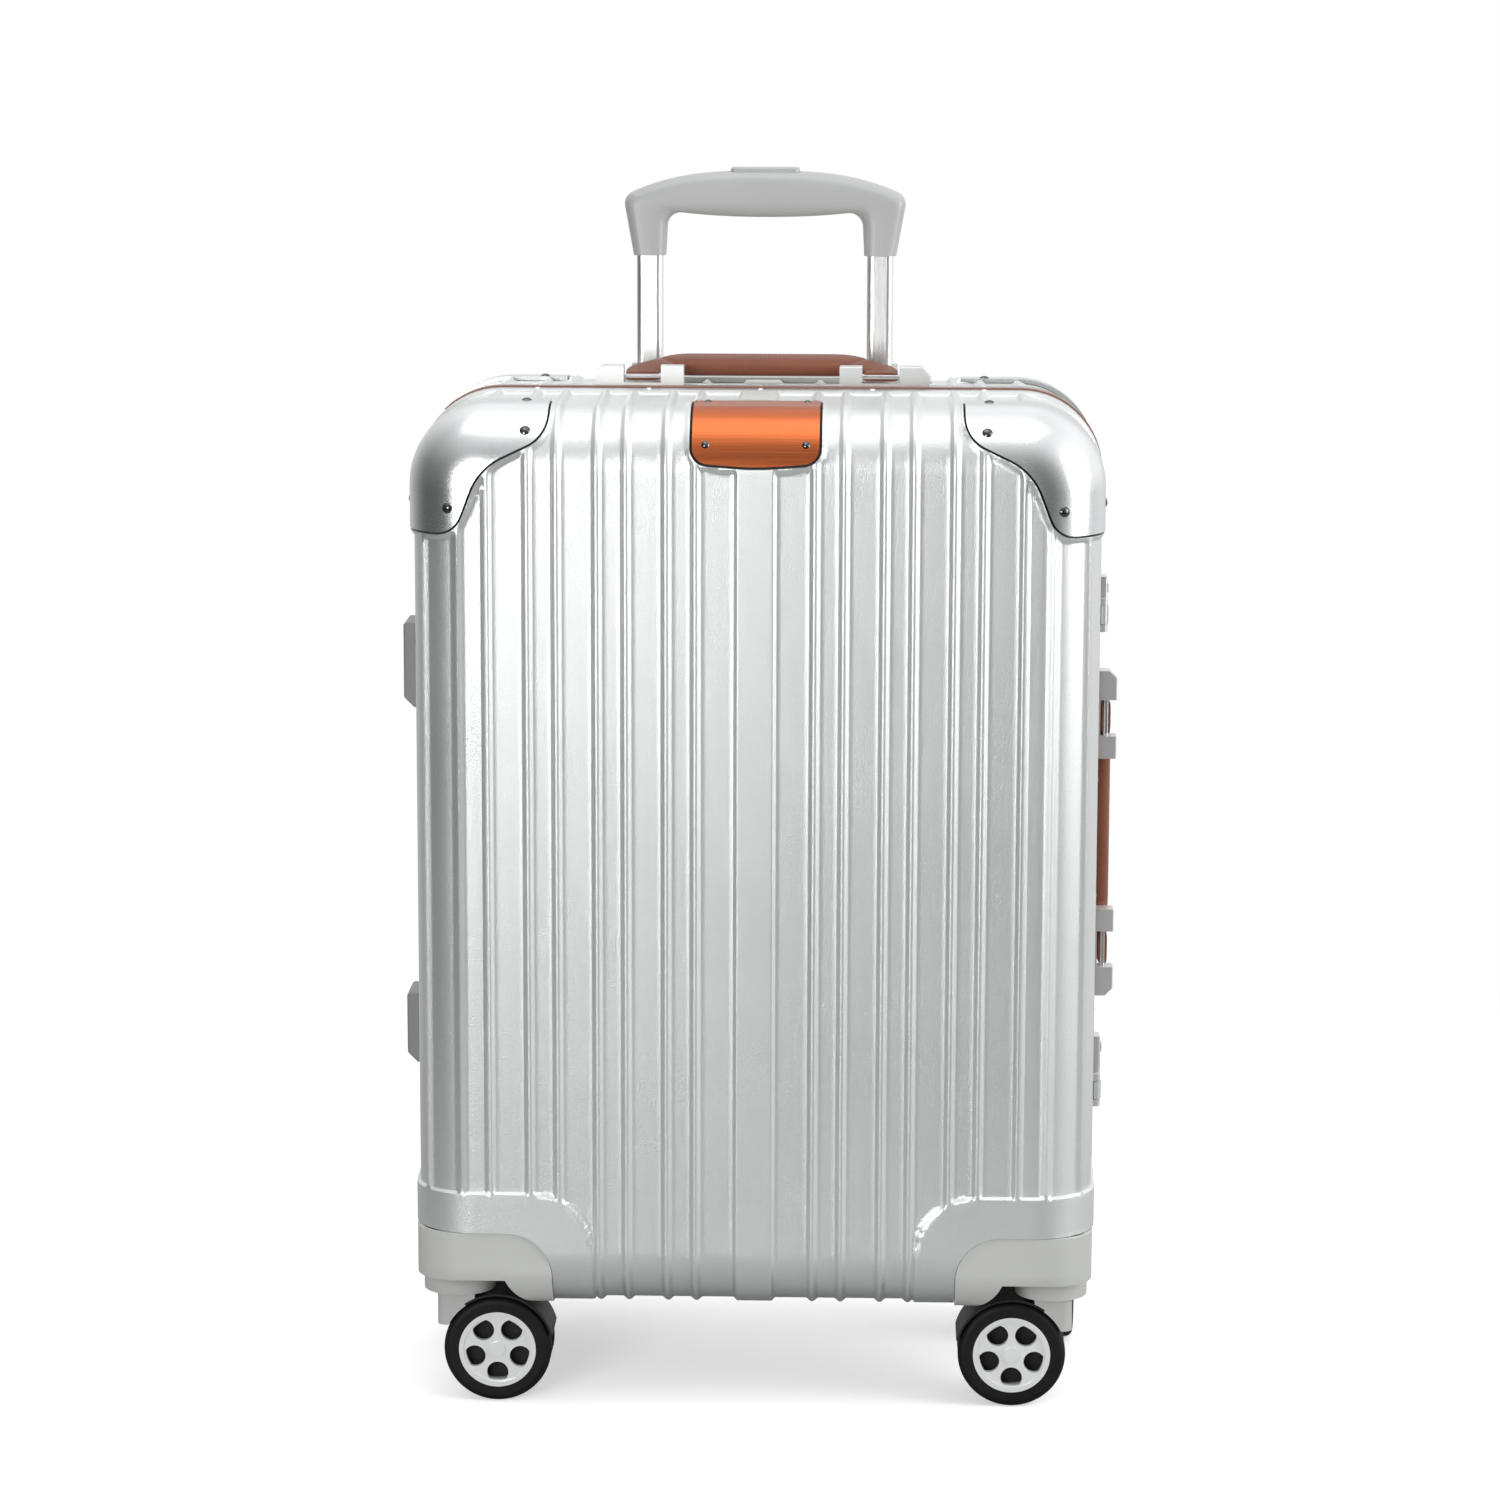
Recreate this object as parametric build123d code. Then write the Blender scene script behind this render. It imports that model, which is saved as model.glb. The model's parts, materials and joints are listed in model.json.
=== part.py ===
from build123d import *
import os
from math import asin, cos, radians, sin, tan

# Cabin suitcase, millimetres. X to the right, Y to the back, Z up, the floor at z = 0.
# The case splits on the plane y = 0: the front half is the lid, hinged on the left.

# Case body
case_width = 379.0
case_height = 503.5
frame_bottom = 57.0
corner_radius = 45.0
half_depth = 110.5
draft = 1.2
edge_radius = 33.0
wall = 2.5

# Ribs and raised edges of the shells
rib_height = 2.0
rib_foot = 7.0
rib_crest = 4.0
rib_pitch = 37.5
rib_pair_gap = 15.7
first_pair = 40.0
centre_band = 22.4
centre_band_crest = 19.4
corner_bead_inset = 10.5
lip_width = 3.0
rim_band = 5.0
land_rise = 69.5
land_inset = 101.5
land_corner = 34.0

# Aluminium frame of each half
frame_width = 16.0
flange = 1.6
rim_gap = 0.1
channel_floor = 1.7
rebate = 3.3
split_gap = 0.2
frame_edge = 0.7

# Seal strip in the groove between the frames
seal_proud = 0.8
seal_clear = 0.4
seal_end = 176.5

# Corner guards and name plate
guard_thickness = 2.4
guard_reach = 48.0
cover_gap = 0.2
guard_top_inset = 77.1
guard_knee_drop = 16.0
guard_waist_inset = (40.7, 33.0)
guard_heel_inset = (27.0, 68.5)
guard_bends = [14.0, 16.0, 10.0]
plate_width = 68.8
plate_drop = 32.5
plate_bow = 2.5
plate_corner = 9.0
plate_bow_radius = 150.0
plate_thickness = 1.6
seat_clearance = 4.0
plate_reach = 49.5

# Rivets
rivet_radius = 2.9
rivet_height = 1.3
guard_rivet_insets = [(65.5, 13.3), (23.9, 55.0)]
guard_top_rivet_inset = 64.0
guard_side_rivet_drop = 54.5
rivet_inset = 7.5
plate_rivet_radius = 2.2
plate_rivet_height = 1.0
plate_rivet_x = 27.0
plate_rivet_inset = 5.0
plate_rivet_drop = 20.1
frame_rivet_radius = 2.0
frame_rivet_height = 0.9
frame_rivet_pitch = 62.0
side_rivet_pitch = 66.0

# Wheel cups
cup_rise = 46.5
cup_inset = 78.5
cup_bend = 25.0
cup_back = 24.0
cup_gap = 0.3
cup_level = 1.0
cup_wall = 2.7
cup_corner = 20.0
cup_edge = 22.0
well_radius = 47.5
well_roof = 76.0
boss_radius = 20.0
bearing_radius = 10.0
bearing_top = 92.0

# Casters
wheel_radius = 30.0
swivel_inset = 24.0
swivel_y = 72.5
trail = 22.0
rear_turn = 90.0
tyre_width = 12.0
tyre_inner = 21.5
tyre_round = 4.0
wheel_gap = 10.0
hub_rim = 2.6
hub_web = 3.0
hub_dish = 1.2
hub_boss = 6.0
hub_cap = 4.4
window_radius = 6.0
window_ring = 13.4
window_count = 5
window_inset = 1.0
axle_radius = 3.0
stem_radius = 5.0
stem_length = 26.0
running_gap = 0.05
swivel_gap = 0.3
head_radius = 14.0
head_thickness = 2.2
fender_gap = 0.7
fender_thickness = 1.3
fender_from = 15.0
fender_to = 125.0
fork_gap = 1.0
hood_out = 11.5
hood_in = 9.5
hood_low = 44.0
hood_round = 5.0

# Hinges on the left
hinge_inset = 1.2
barrel_radius = 2.0
hinge_pin_radius = 1.0
hinge_length = 40.0
knuckle_length = 18.0
knuckle_gap = 0.3
leaf_thickness = 1.0
leaf_width = 11.0
hinge_offsets = [-180.75, 0.25, 177.25]

# Latches on the right
upper_lock_offset = 133.25
lower_lock_offset = -135.25
upper_lock_length = 26.0
lower_lock_length = 34.0
lock_height = 5.0
lock_round = 1.2
hasp_width = 10.0
hasp_thickness = 1.8
hasp_reach = 9.0
hasp_clear = 0.4
hasp_pivot_y = 11.0
hasp_pivot_x = 2.6
hasp_barrel = 2.0
hasp_pin_radius = 1.0
hasp_ear = 4.0
hasp_plate = 0.8
button_length = 5.0
button_width = 6.0
button_travel = 2.5
button_proud = 1.0
dial_radius = 2.6
dial_width = 3.0
dial_pitch = 3.6
dial_gap = 0.3
dial_pin_radius = 0.7

# Carry handles
handle_half_span = 93.5
bracket_length = 50.0
bracket_depth = 12.0
bracket_height = 11.5
bracket_floor = 2.2
bracket_chamfer = 4.5
bracket_edge = 0.8
bracket_inner_post = 12.7
bracket_gap = 20.8
bracket_y = 9.6
handle_pin_radius = 1.6
handle_pin_height = 5.6
handle_side_gap = 0.4
handle_strap = 5.2
handle_reach = 24.0
handle_grip_half = 47.0
handle_grip_depth = 22.0
handle_grip_thickness = 10.0
handle_neck = 10.0
top_handle_tilt = 10.0
side_handle_tilt = -4.0
side_handle_offset = -0.75
handle_join = 8.0
handle_join_outer = 6.0
handle_join_inner = 4.0
handle_join_overlap = 2.0

# Trolley
trolley_x = 65.6
trolley_y = 74.0
inner_tube = (14.8, 12.0)
tube_round = 3.6
tube_wall = 1.2
tube_gap = 0.3
tube_low = 72.0
tube_step = 8.0
inner_tube_low = 172.0
trolley_rise = 116.5
grip_tube_drop = 33.0
grip_leg_drop = 47.5
grip_shoulder_drop = 15.0
grip_half_width = 80.5
grip_underside_drop = 26.0
grip_arch_x = 45.0
grip_arch_drop = 23.5
grip_arch_bend = (2.0, 8.0)
grip_depth = 26.0
grip_round = 8.0
leg_wall = 1.8
trolley_button = (39.0, 13.0)
trolley_button_proud = 2.0
trolley_button_round = 3.0
trolley_button_travel = 3.0
trolley_button_edge = 1.0
bar_height = 3.0
bar_width = 6.0
bar_drop = 14.0
rod_radius = 2.2
slide_gap = 0.3
bezel_thickness = 3.0
bezel_length = 190.0
bezel_depth = 38.0
bezel_round = 8.0
collar_height = 6.0
collar_wall = 1.6
base_height = 14.0
base_length = 180.0
base_depth = 26.0

# Side feet on the left
foot_proud = 17.5
foot_front = 52.0
foot_depth = 32.0
foot_round = 2.0
upper_foot_offsets = (61.25, 110.25)
lower_foot_offsets = (-148.75, -107.75)
foot_slope = 6.0
hook_wall = 6.8
hook_depth = 13.0

# Linings
lining_gap = 0.3
lining_thickness = 1.0
lining_back = 61.0

# Derived places
z_mid = frame_bottom + case_height / 2
frame_top = frame_bottom + case_height
half_width = case_width / 2
corner_bead = half_width - corner_bead_inset
land_top = frame_bottom + land_rise
land_inner = half_width - land_inset
guard_top_x = half_width - guard_top_inset
guard_knee_z = frame_top - guard_knee_drop
guard_waist = (half_width - guard_waist_inset[0], frame_top - guard_waist_inset[1])
guard_heel = (half_width - guard_heel_inset[0], frame_top - guard_heel_inset[1])
plate_low = frame_top - plate_drop
guard_front_rivets = [(half_width - inset, frame_top - drop) for inset, drop in guard_rivet_insets]
guard_top_rivet_x = half_width - guard_top_rivet_inset
guard_side_rivet_z = frame_top - guard_side_rivet_drop
plate_rivet_z = frame_top - plate_rivet_drop
cup_top = frame_bottom + cup_rise
cup_inner = half_width - cup_inset
swivel_x = half_width - swivel_inset
hinge_heights = [z_mid + offset for offset in hinge_offsets]
upper_lock_z = z_mid + upper_lock_offset
lower_lock_z = z_mid + lower_lock_offset
side_handle_z = z_mid + side_handle_offset
foot_face = half_width + foot_proud
upper_foot = [z_mid + offset for offset in upper_foot_offsets]
lower_foot = [z_mid + offset for offset in lower_foot_offsets]
grip_top = frame_top + trolley_rise
inner_tube_top = grip_top - grip_tube_drop
grip_leg_low = grip_top - grip_leg_drop
grip_shoulder = grip_top - grip_shoulder_drop
grip_underside = grip_top - grip_underside_drop
grip_arch_z = grip_top - grip_arch_drop
bar_top = grip_top - bar_drop
panel_inset = flange + rim_gap
channel = wall + 2 * rim_gap
frame_thickness = 2 * flange + channel
slope = tan(radians(draft))
taper_depth = half_depth - frame_width
front_half_width = half_width - panel_inset - taper_depth * slope
front_top = frame_top - panel_inset - taper_depth * slope
fillet_back = edge_radius / cos(radians(draft)) - edge_radius * slope
arc_x = front_half_width - fillet_back
arc_z = front_top - fillet_back
far = 2 * case_height


def block(x0, x1, y0, y1, z0, z1):
    size = (abs(x1 - x0), abs(y1 - y0), abs(z1 - z0))
    return Pos((x0 + x1) / 2, (y0 + y1) / 2, (z0 + z1) / 2) * Box(*size)


def rod(start, direction, radius, length):
    return Plane(origin=start, z_dir=direction) * Cylinder(
        radius, length, align=(Align.CENTER, Align.CENTER, Align.MIN)
    )


def both_sides(shape):
    return [shape, shape.mirror(Plane.YZ)]


def to_back(shape):
    return shape.mirror(Plane.XZ)


def front_view(sketch, y0, y1):
    """A prism along Y from a sketch drawn in x and z, between two depths in front of the split."""
    return extrude(Plane.XZ.offset(y0) * sketch, y1 - y0)


def rounded(width, height, radius):
    return Pos(0, z_mid) * RectangleRounded(width, height, radius)


# Body forms and the frame


def body_form(level, corner=corner_radius, edge=edge_radius):
    """The front half of the body, grown by level beyond the panel surface."""
    inset = panel_inset - level
    outline = rounded(case_width - 2 * inset, case_height - 2 * inset, corner - inset)
    rim = front_view(outline, 0, frame_width)
    depth = half_depth + level - frame_width
    tray = rim + extrude(Plane.XZ.offset(frame_width) * outline, depth, taper=draft)
    face = tray.faces().sort_by(Axis.Y)[0]
    return fillet(face.edges(), edge + level)


def top_height(y, level=0.0):
    return frame_top - panel_inset - (abs(y) - frame_width) * slope + level


def side_reach(y, level=0.0):
    return half_width - panel_inset - (abs(y) - frame_width) * slope + level


def ring(u0, u1, y0, y1):
    """A hoop of the frame, u0 to u1 inwards from its outer face."""
    outer = rounded(case_width - 2 * u0, case_height - 2 * u0, corner_radius - u0)
    inner = rounded(case_width - 2 * u1, case_height - 2 * u1, corner_radius - u1)
    return front_view(outer - inner, y0, y1)


def make_frame():
    floor_end = rebate + channel_floor
    hoop = ring(0, frame_thickness, rebate, floor_end)
    hoop += ring(0, flange, floor_end, frame_width)
    hoop += ring(flange + channel, frame_thickness, floor_end, frame_width)
    hoop += ring(rebate + rim_gap, frame_thickness, split_gap, rebate)
    edge = hoop.faces().sort_by(Axis.Y)[0].outer_wire().edges()
    return fillet(edge, frame_edge)


def make_seal():
    depth = rebate - seal_clear
    strip = ring(-seal_proud, rebate - seal_clear, -rebate, depth)
    return strip - block(-far, -seal_end, -far, far, -far, far)


# Shells


def rib_section(foot, crest):
    half_foot = foot / 2
    half_crest = crest / 2
    root = -wall / 2
    return Polygon(
        (-half_foot, root),
        (half_foot, root),
        (half_foot, 0),
        (half_crest, rib_height),
        (-half_crest, rib_height),
        (-half_foot, 0),
        align=None,
    )


def wrapped_rib(x, foot, crest, low=None):
    """A rib from the rim over the top edge and down the front, to a height or round the bottom."""
    start_y = frame_width + split_gap
    points = [(x, -start_y, top_height(start_y)), (x, -half_depth, top_height(half_depth))]
    if low is None:
        points.append((x, -half_depth, 2 * z_mid - top_height(half_depth)))
        points.append((x, -start_y, 2 * z_mid - top_height(start_y)))
    else:
        points.append((x, -half_depth, low))
    path = FilletPolyline(*points, radius=edge_radius)
    start = Plane(origin=path @ 0, x_dir=(1, 0, 0), z_dir=path % 0)
    return sweep(start * rib_section(foot, crest), path=path)


def upright_bead(x, low, high):
    """A straight bead down the front face or its rounded side edge."""
    turn = asin(max(0.0, (x - arc_x) / edge_radius))
    y = -half_depth + edge_radius * (1 - cos(turn))
    base = Plane(origin=(x, y, low), x_dir=(-cos(turn), -sin(turn), 0), z_dir=(0, 0, 1))
    return extrude(base * rib_section(rib_foot, rib_crest), high - low)


def rib_stub(crest, x):
    """The end of a rib on top, between the rim and a corner guard."""
    half = (rib_foot + rib_crest) / 4
    return crest & block(x - half, x + half, guard_reach - half_depth, -frame_width, z_mid, far)


def rib_places():
    pairs = [first_pair + rib_pitch * k for k in range(4)]
    return [centre + side * rib_pair_gap / 2 for centre in pairs for side in (-1, 1)]


def guard_outline():
    corners = [(guard_top_x, far), (guard_top_x, guard_knee_z)]
    corners += [guard_waist, guard_heel, (far, guard_heel[1])]
    edge = FilletPolyline(*corners, radius=guard_bends)
    return make_face(edge + Polyline(edge @ 1, (far, far), edge @ 0))


def plate_outline():
    half = plate_width / 2
    low = plate_low + plate_bow
    corners = [(-half, far), (-half, low), (0, plate_low), (half, low), (half, far)]
    edge = FilletPolyline(*corners, radius=[plate_corner, plate_bow_radius, plate_corner])
    return make_face(edge + Line(edge @ 1, edge @ 0))


def corner_outline(x, z, bend):
    """The lower right corner of the front view, inside a rounded angle at x and z."""
    edge = FilletPolyline((far, z), (x, z), (x, -far), radius=bend)
    return make_face(edge + Polyline(edge @ 1, (far, -far), edge @ 0))


def cup_pocket(margin):
    outline = corner_outline(cup_inner - margin, cup_top + margin, cup_bend + margin)
    return front_view(outline, cup_back - margin, far)


def raised_parts(crest, with_plate):
    """Ribs, bands, lips and corner lands that stand on the panels."""
    ribs = [wrapped_rib(0, centre_band, centre_band_crest)]
    places = rib_places()
    for x in places[:4]:
        ribs += both_sides(wrapped_rib(x, rib_foot, rib_crest))
    low = land_top - land_corner
    for x in places[4:6]:
        ribs += both_sides(wrapped_rib(x, rib_foot, rib_crest, low))
    for x in places[6:] + [corner_bead]:
        ribs += both_sides(upright_bead(x, low, arc_z - edge_radius / 4))
    ribs += both_sides(rib_stub(crest, places[6]))
    rim = frame_width + split_gap
    band = crest & block(-far, far, -rim - rim_band, -rim, -far, far)
    land_sketch = corner_outline(land_inner, land_top, land_corner)
    land = crest & front_view(land_sketch, rim, far)
    guard = guard_outline()
    lip_sketch = offset(guard, lip_width) - guard
    lip = crest & front_view(lip_sketch, half_depth - guard_reach, far)
    raised = ribs + [band] + both_sides(land) + both_sides(lip)
    if with_plate:
        plate = plate_outline()
        frame = offset(plate, lip_width) - plate
        raised.append(crest & front_view(frame, half_depth - plate_reach, far))
    return raised


def cover_skin(outline, thickness, reach, gap):
    """A sheet that follows the panel inside an outline, held off its seat by a gap."""
    skin = body_form(thickness) - body_form(gap)
    return skin & front_view(offset(outline, -gap), half_depth - reach + gap, far)


def cover_seat(outline, reach):
    """The room cleared for a cover on the panel, ribs included."""
    return cover_skin(outline, seat_clearance, reach, 0)


def make_guard():
    return cover_skin(guard_outline(), guard_thickness, guard_reach, cover_gap)


def make_plate():
    return cover_skin(plate_outline(), plate_thickness, plate_reach, cover_gap)


def inner_space(level, margin):
    space = body_form(level)
    for pocket in both_sides(cup_pocket(margin)):
        space -= pocket
    return space


def make_shell(panel, raised, inner, covers):
    shell = panel.fuse(*raised)
    for pocket in both_sides(cup_pocket(0)):
        shell -= pocket
    shell -= inner
    for cover in covers:
        shell -= cover
    rim = rebate + channel_floor
    return shell & block(-far, far, -far, -rim, -far, far)


def make_lining(back):
    gap = wall + lining_gap
    thick = gap + lining_thickness
    rim = frame_width + lining_gap
    skin = inner_space(-gap, gap) & block(-far, far, -back, -rim, -far, far)
    hollow = inner_space(-thick, thick)
    return skin - (hollow & block(-far, far, -back + lining_thickness, 0, -far, far))


# Rivets


def dome(radius, height):
    """A spherical cap that stands on its flat face."""
    ball = (radius**2 + height**2) / (2 * height)
    lean = asin(radius / ball) / 2
    middle = (ball * sin(lean), height - ball * (1 - cos(lean)))
    arc = ThreePointArc((radius, 0), middle, (0, height))
    profile = make_face(Polyline((0, height), (0, 0), (radius, 0)) + arc)
    return revolve(Plane.XZ * profile, Axis.Z)


def rivet_at(point, normal, radius=rivet_radius, height=rivet_height):
    return Plane(origin=point, z_dir=normal) * dome(radius, height)


def front_point(x, z, level):
    """A point and its normal on the front of the body at a level above the panels."""
    radius = edge_radius + level
    lean = asin(max(0.0, (z - arc_z) / radius))
    turn = asin(max(0.0, (abs(x) - arc_x) / radius))
    back = radius * (2 - cos(lean) - cos(turn))
    side = 1 if x > 0 else -1
    normal = (side * sin(turn) * cos(lean), -cos(turn) * cos(lean), sin(lean))
    return (x, -half_depth - level + back, z), normal


def top_point(x, y, level):
    return (x, y, top_height(y, level))


def make_rivets(with_plate):
    found = []
    guard_y = -(half_depth - guard_reach + rivet_inset)
    top_normal = (0, -sin(radians(draft)), cos(radians(draft)))
    for side in (-1, 1):
        for x, z in guard_front_rivets:
            found.append(rivet_at(*front_point(side * x, z, guard_thickness)))
        found.append(rivet_at(top_point(side * guard_top_rivet_x, guard_y, guard_thickness), top_normal))
        wall_normal = (side * cos(radians(draft)), -sin(radians(draft)), 0)
        reach = side * side_reach(guard_y, guard_thickness)
        found.append(rivet_at((reach, guard_y, guard_side_rivet_z), wall_normal))
    if with_plate:
        size = (plate_rivet_radius, plate_rivet_height)
        plate_y = -(half_depth - plate_reach + plate_rivet_inset)
        for x in (-plate_rivet_x, plate_rivet_x):
            found.append(rivet_at(*front_point(x, plate_rivet_z, plate_thickness), *size))
            found.append(rivet_at(top_point(x, plate_y, plate_thickness), top_normal, *size))
    return found


def make_frame_rivets(top_steps):
    """The small rivets of a frame. The top ones are counted in steps from the middle."""
    y = -(frame_width + rebate) / 2
    size = (frame_rivet_radius, frame_rivet_height)
    found = [rivet_at((k * frame_rivet_pitch, y, frame_top), (0, 0, 1), *size) for k in top_steps]
    for k in range(-2, 3):
        found.append(rivet_at((k * frame_rivet_pitch, y, frame_bottom), (0, 0, -1), *size))
    for k in (-1.5, -0.5, 0.5, 1.5):
        for side in (-1, 1):
            place = (side * half_width, y, z_mid + k * side_rivet_pitch)
            found.append(rivet_at(place, (side, 0, 0), *size))
    return found


# Wheel cups and casters


def make_cup():
    """The wheel cup at the front right: a thin corner cap with a well for the wheels and a bearing."""
    outline = corner_outline(cup_inner + cup_gap, cup_top - cup_gap, cup_bend - cup_gap)
    corner = front_view(outline, cup_back + cup_gap, far)
    cup = body_form(cup_level, cup_corner, cup_edge) & corner
    room = body_form(cup_level - cup_wall, cup_corner - cup_wall / 2, cup_edge)
    inner_x = cup_inner + cup_gap + cup_wall
    room &= block(inner_x, far, -far, -cup_back - cup_gap - cup_wall, well_roof + cup_wall, far)
    cup -= room
    axis = (swivel_x, -swivel_y)
    cup -= rod((*axis, -far), (0, 0, 1), well_radius, far + well_roof)
    boss_low = head_top() + swivel_gap
    cup += rod((*axis, boss_low), (0, 0, 1), boss_radius, well_roof + cup_wall - boss_low)
    cup += rod((*axis, well_roof), (0, 0, 1), bearing_radius, bearing_top - well_roof)
    return cup - rod((*axis, 0), (0, 0, 1), stem_radius + running_gap, far)


def head_top():
    return 2 * wheel_radius + fender_gap + fender_thickness - swivel_gap / 2


def wheel_axis(y0):
    return Plane(origin=(-trail, y0, wheel_radius), x_dir=(1, 0, 0), z_dir=(0, 1, 0))


def wheel_disc(radius, y0, y1):
    return wheel_axis(y0) * Cylinder(radius, y1 - y0, align=(Align.CENTER, Align.CENTER, Align.MIN))


def make_tyre():
    y0 = wheel_gap / 2
    y1 = y0 + tyre_width
    tyre = wheel_disc(wheel_radius, y0, y1)
    tyre = fillet(tyre.edges().filter_by(GeomType.CIRCLE), tyre_round)
    return tyre - wheel_disc(tyre_inner, y0 - 1, y1 + 1)


def make_hub():
    y0 = wheel_gap / 2
    y1 = y0 + tyre_width
    hub = wheel_disc(tyre_inner, y0, y1)
    rim = tyre_inner - hub_rim
    hub -= wheel_disc(rim, y0 - 1, y1 - hub_dish - hub_web)
    hub -= wheel_disc(rim, y1 - hub_dish, y1 + 1)
    hub += wheel_disc(hub_boss, y0, y1 - hub_dish)
    window = Pos(window_ring, 0) * Circle(window_radius) & Circle(rim - window_inset)
    plate = wheel_axis(y0)
    for k in range(window_count):
        turned = plate * Rot(0, 0, 90 + k * 360 / window_count)
        hub -= turned * extrude(window, tyre_width + 1)
    hub += wheel_disc(hub_cap, y1 - hub_dish - hub_web, y1)
    return hub - wheel_disc(axle_radius, y0 - 1, y1 - hub_dish - hub_web)


def make_axle():
    reach = wheel_gap / 2 + tyre_width - hub_dish - hub_web
    return wheel_disc(axle_radius, -reach, reach)


def make_fork():
    half_gap = wheel_gap / 2 - fork_gap
    reach = wheel_radius + fender_gap
    outer = reach + fender_thickness
    half_wide = wheel_gap / 2 + tyre_width
    sector = extrude(make_sector(outer), 2 * half_gap)
    fork = wheel_axis(-half_gap) * sector
    hollow = wheel_disc(reach, -far, far)
    guard = wheel_axis(-half_wide) * extrude(make_sector(outer), 2 * half_wide) - hollow
    fork += guard
    fork += wheel_disc(hub_boss, -half_gap, half_gap)
    top = head_top()
    fork += rod((0, 0, top - head_thickness), (0, 0, 1), head_radius, head_thickness)
    neck = head_radius / 2
    fork += block(-neck, neck, -half_gap, half_gap, wheel_radius + trail, top)
    fork += rod((0, 0, top), (0, 0, 1), stem_radius, stem_length)
    return fork - wheel_disc(axle_radius + running_gap, -far, far)


def make_sector(radius):
    """The part of a disc that the fender spans, drawn about the axle, z downwards on the sketch."""
    start = radians(fender_from)
    end = radians(fender_to)
    middle = (start + end) / 2
    wide = 2 * radius

    def ray(angle, length):
        return (-length * cos(angle), -length * sin(angle))

    wedge = Polygon((0, 0), ray(start, wide), ray(middle, wide), ray(end, wide), align=None)
    return Circle(radius) & wedge


def make_hood(fork):
    half_wide = wheel_gap / 2 + tyre_width
    hood = block(-hood_in, hood_out, -half_wide, half_wide, hood_low, head_top())
    outer = hood.edges().filter_by(Axis.Z).sort_by(Axis.X)[-2:]
    hood = fillet(outer, hood_round)
    hood -= wheel_disc(wheel_radius + fender_gap, -far, far)
    return hood - fork


# Hinges


def hinge_part(z, knuckles):
    """A leaf on the front frame with its barrel knuckles, given as start and end heights."""
    axis_x = -half_width + hinge_inset
    low = z - hinge_length / 2
    high = z + hinge_length / 2
    leaf = block(-half_width - leaf_thickness, -half_width, -rebate - leaf_width, -rebate, low, high)
    for z0, z1 in knuckles:
        leaf += rod((axis_x, 0, z0), (0, 0, 1), barrel_radius, z1 - z0)
        leaf += block(-half_width - leaf_thickness, axis_x, -rebate, -hinge_pin_radius, z0, z1)
    return leaf - rod((axis_x, 0, 0), (0, 0, 1), hinge_pin_radius + running_gap, far)


def front_leaf(z):
    return hinge_part(z, [(z - knuckle_length / 2, z + knuckle_length / 2)])


def rear_leaf(z):
    inner = knuckle_length / 2 + knuckle_gap
    outer = hinge_length / 2
    return to_back(hinge_part(z, [(z - outer, z - inner), (z + inner, z + outer)]))


def hinge_pin(z):
    start = (-half_width + hinge_inset, 0, z - hinge_length / 2)
    return rod(start, (0, 0, 1), hinge_pin_radius, hinge_length)


# Latches


def lock_body(z, length):
    """A lock on the rear frame, with a bed for the hasp that is open outwards and to the front."""
    front = rebate + seal_clear
    body = block(half_width, half_width + lock_height, front, frame_width, z - length / 2, z + length / 2)
    outer = body.faces().sort_by(Axis.X)[-1].edges()
    body = fillet(outer, lock_round)
    bed = hasp_width / 2 + hasp_clear
    hasp_z = hasp_place(z, length)
    floor = half_width + lock_height - hasp_thickness - hasp_clear
    body -= block(floor, far, 0, hasp_reach + hasp_clear, hasp_z - bed, hasp_z + bed)
    slot = button_slot(z, length)
    half = button_width / 2 + hasp_clear / 2
    run = button_length + button_travel + hasp_clear
    mid = (front + frame_width) / 2
    return body - block(floor, far, mid - half, mid + half, slot, slot + run)


def hasp_place(z, length):
    return z - length / 2 + hasp_width / 2 + hasp_clear + lock_round


def button_slot(z, length):
    return z + length / 2 - lock_round - 2 * hasp_clear - button_length - button_travel


def make_button(z, length):
    front = rebate + seal_clear
    mid = (front + frame_width) / 2
    floor = half_width + lock_height - hasp_thickness - hasp_clear / 2
    start = button_slot(z, length) + hasp_clear / 2
    half = button_width / 2
    top = half_width + lock_height + button_proud
    button = block(floor, top, mid - half, mid + half, start, start + button_length)
    return fillet(button.faces().sort_by(Axis.X)[-1].edges(), lock_round / 2)


def hasp_axis():
    return half_width + hasp_pivot_x, -hasp_pivot_y


def make_hasp(z, length):
    hasp_z = hasp_place(z, length)
    half = hasp_width / 2
    top = half_width + lock_height
    axis_x, axis_y = hasp_axis()
    plate = block(top - hasp_thickness, top, axis_y, hasp_reach, hasp_z - half, hasp_z + half)
    end = plate.edges().filter_by(Axis.X).sort_by(Axis.Y)[-2:]
    plate = fillet(end, half / 2)
    plate += rod((axis_x, axis_y, hasp_z - half), (0, 0, 1), hasp_barrel, hasp_width)
    plate += block(axis_x, top, axis_y, axis_y + hasp_barrel, hasp_z - half, hasp_z + half)
    return plate - rod((axis_x, axis_y, 0), (0, 0, 1), hasp_pin_radius + running_gap, far)


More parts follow.
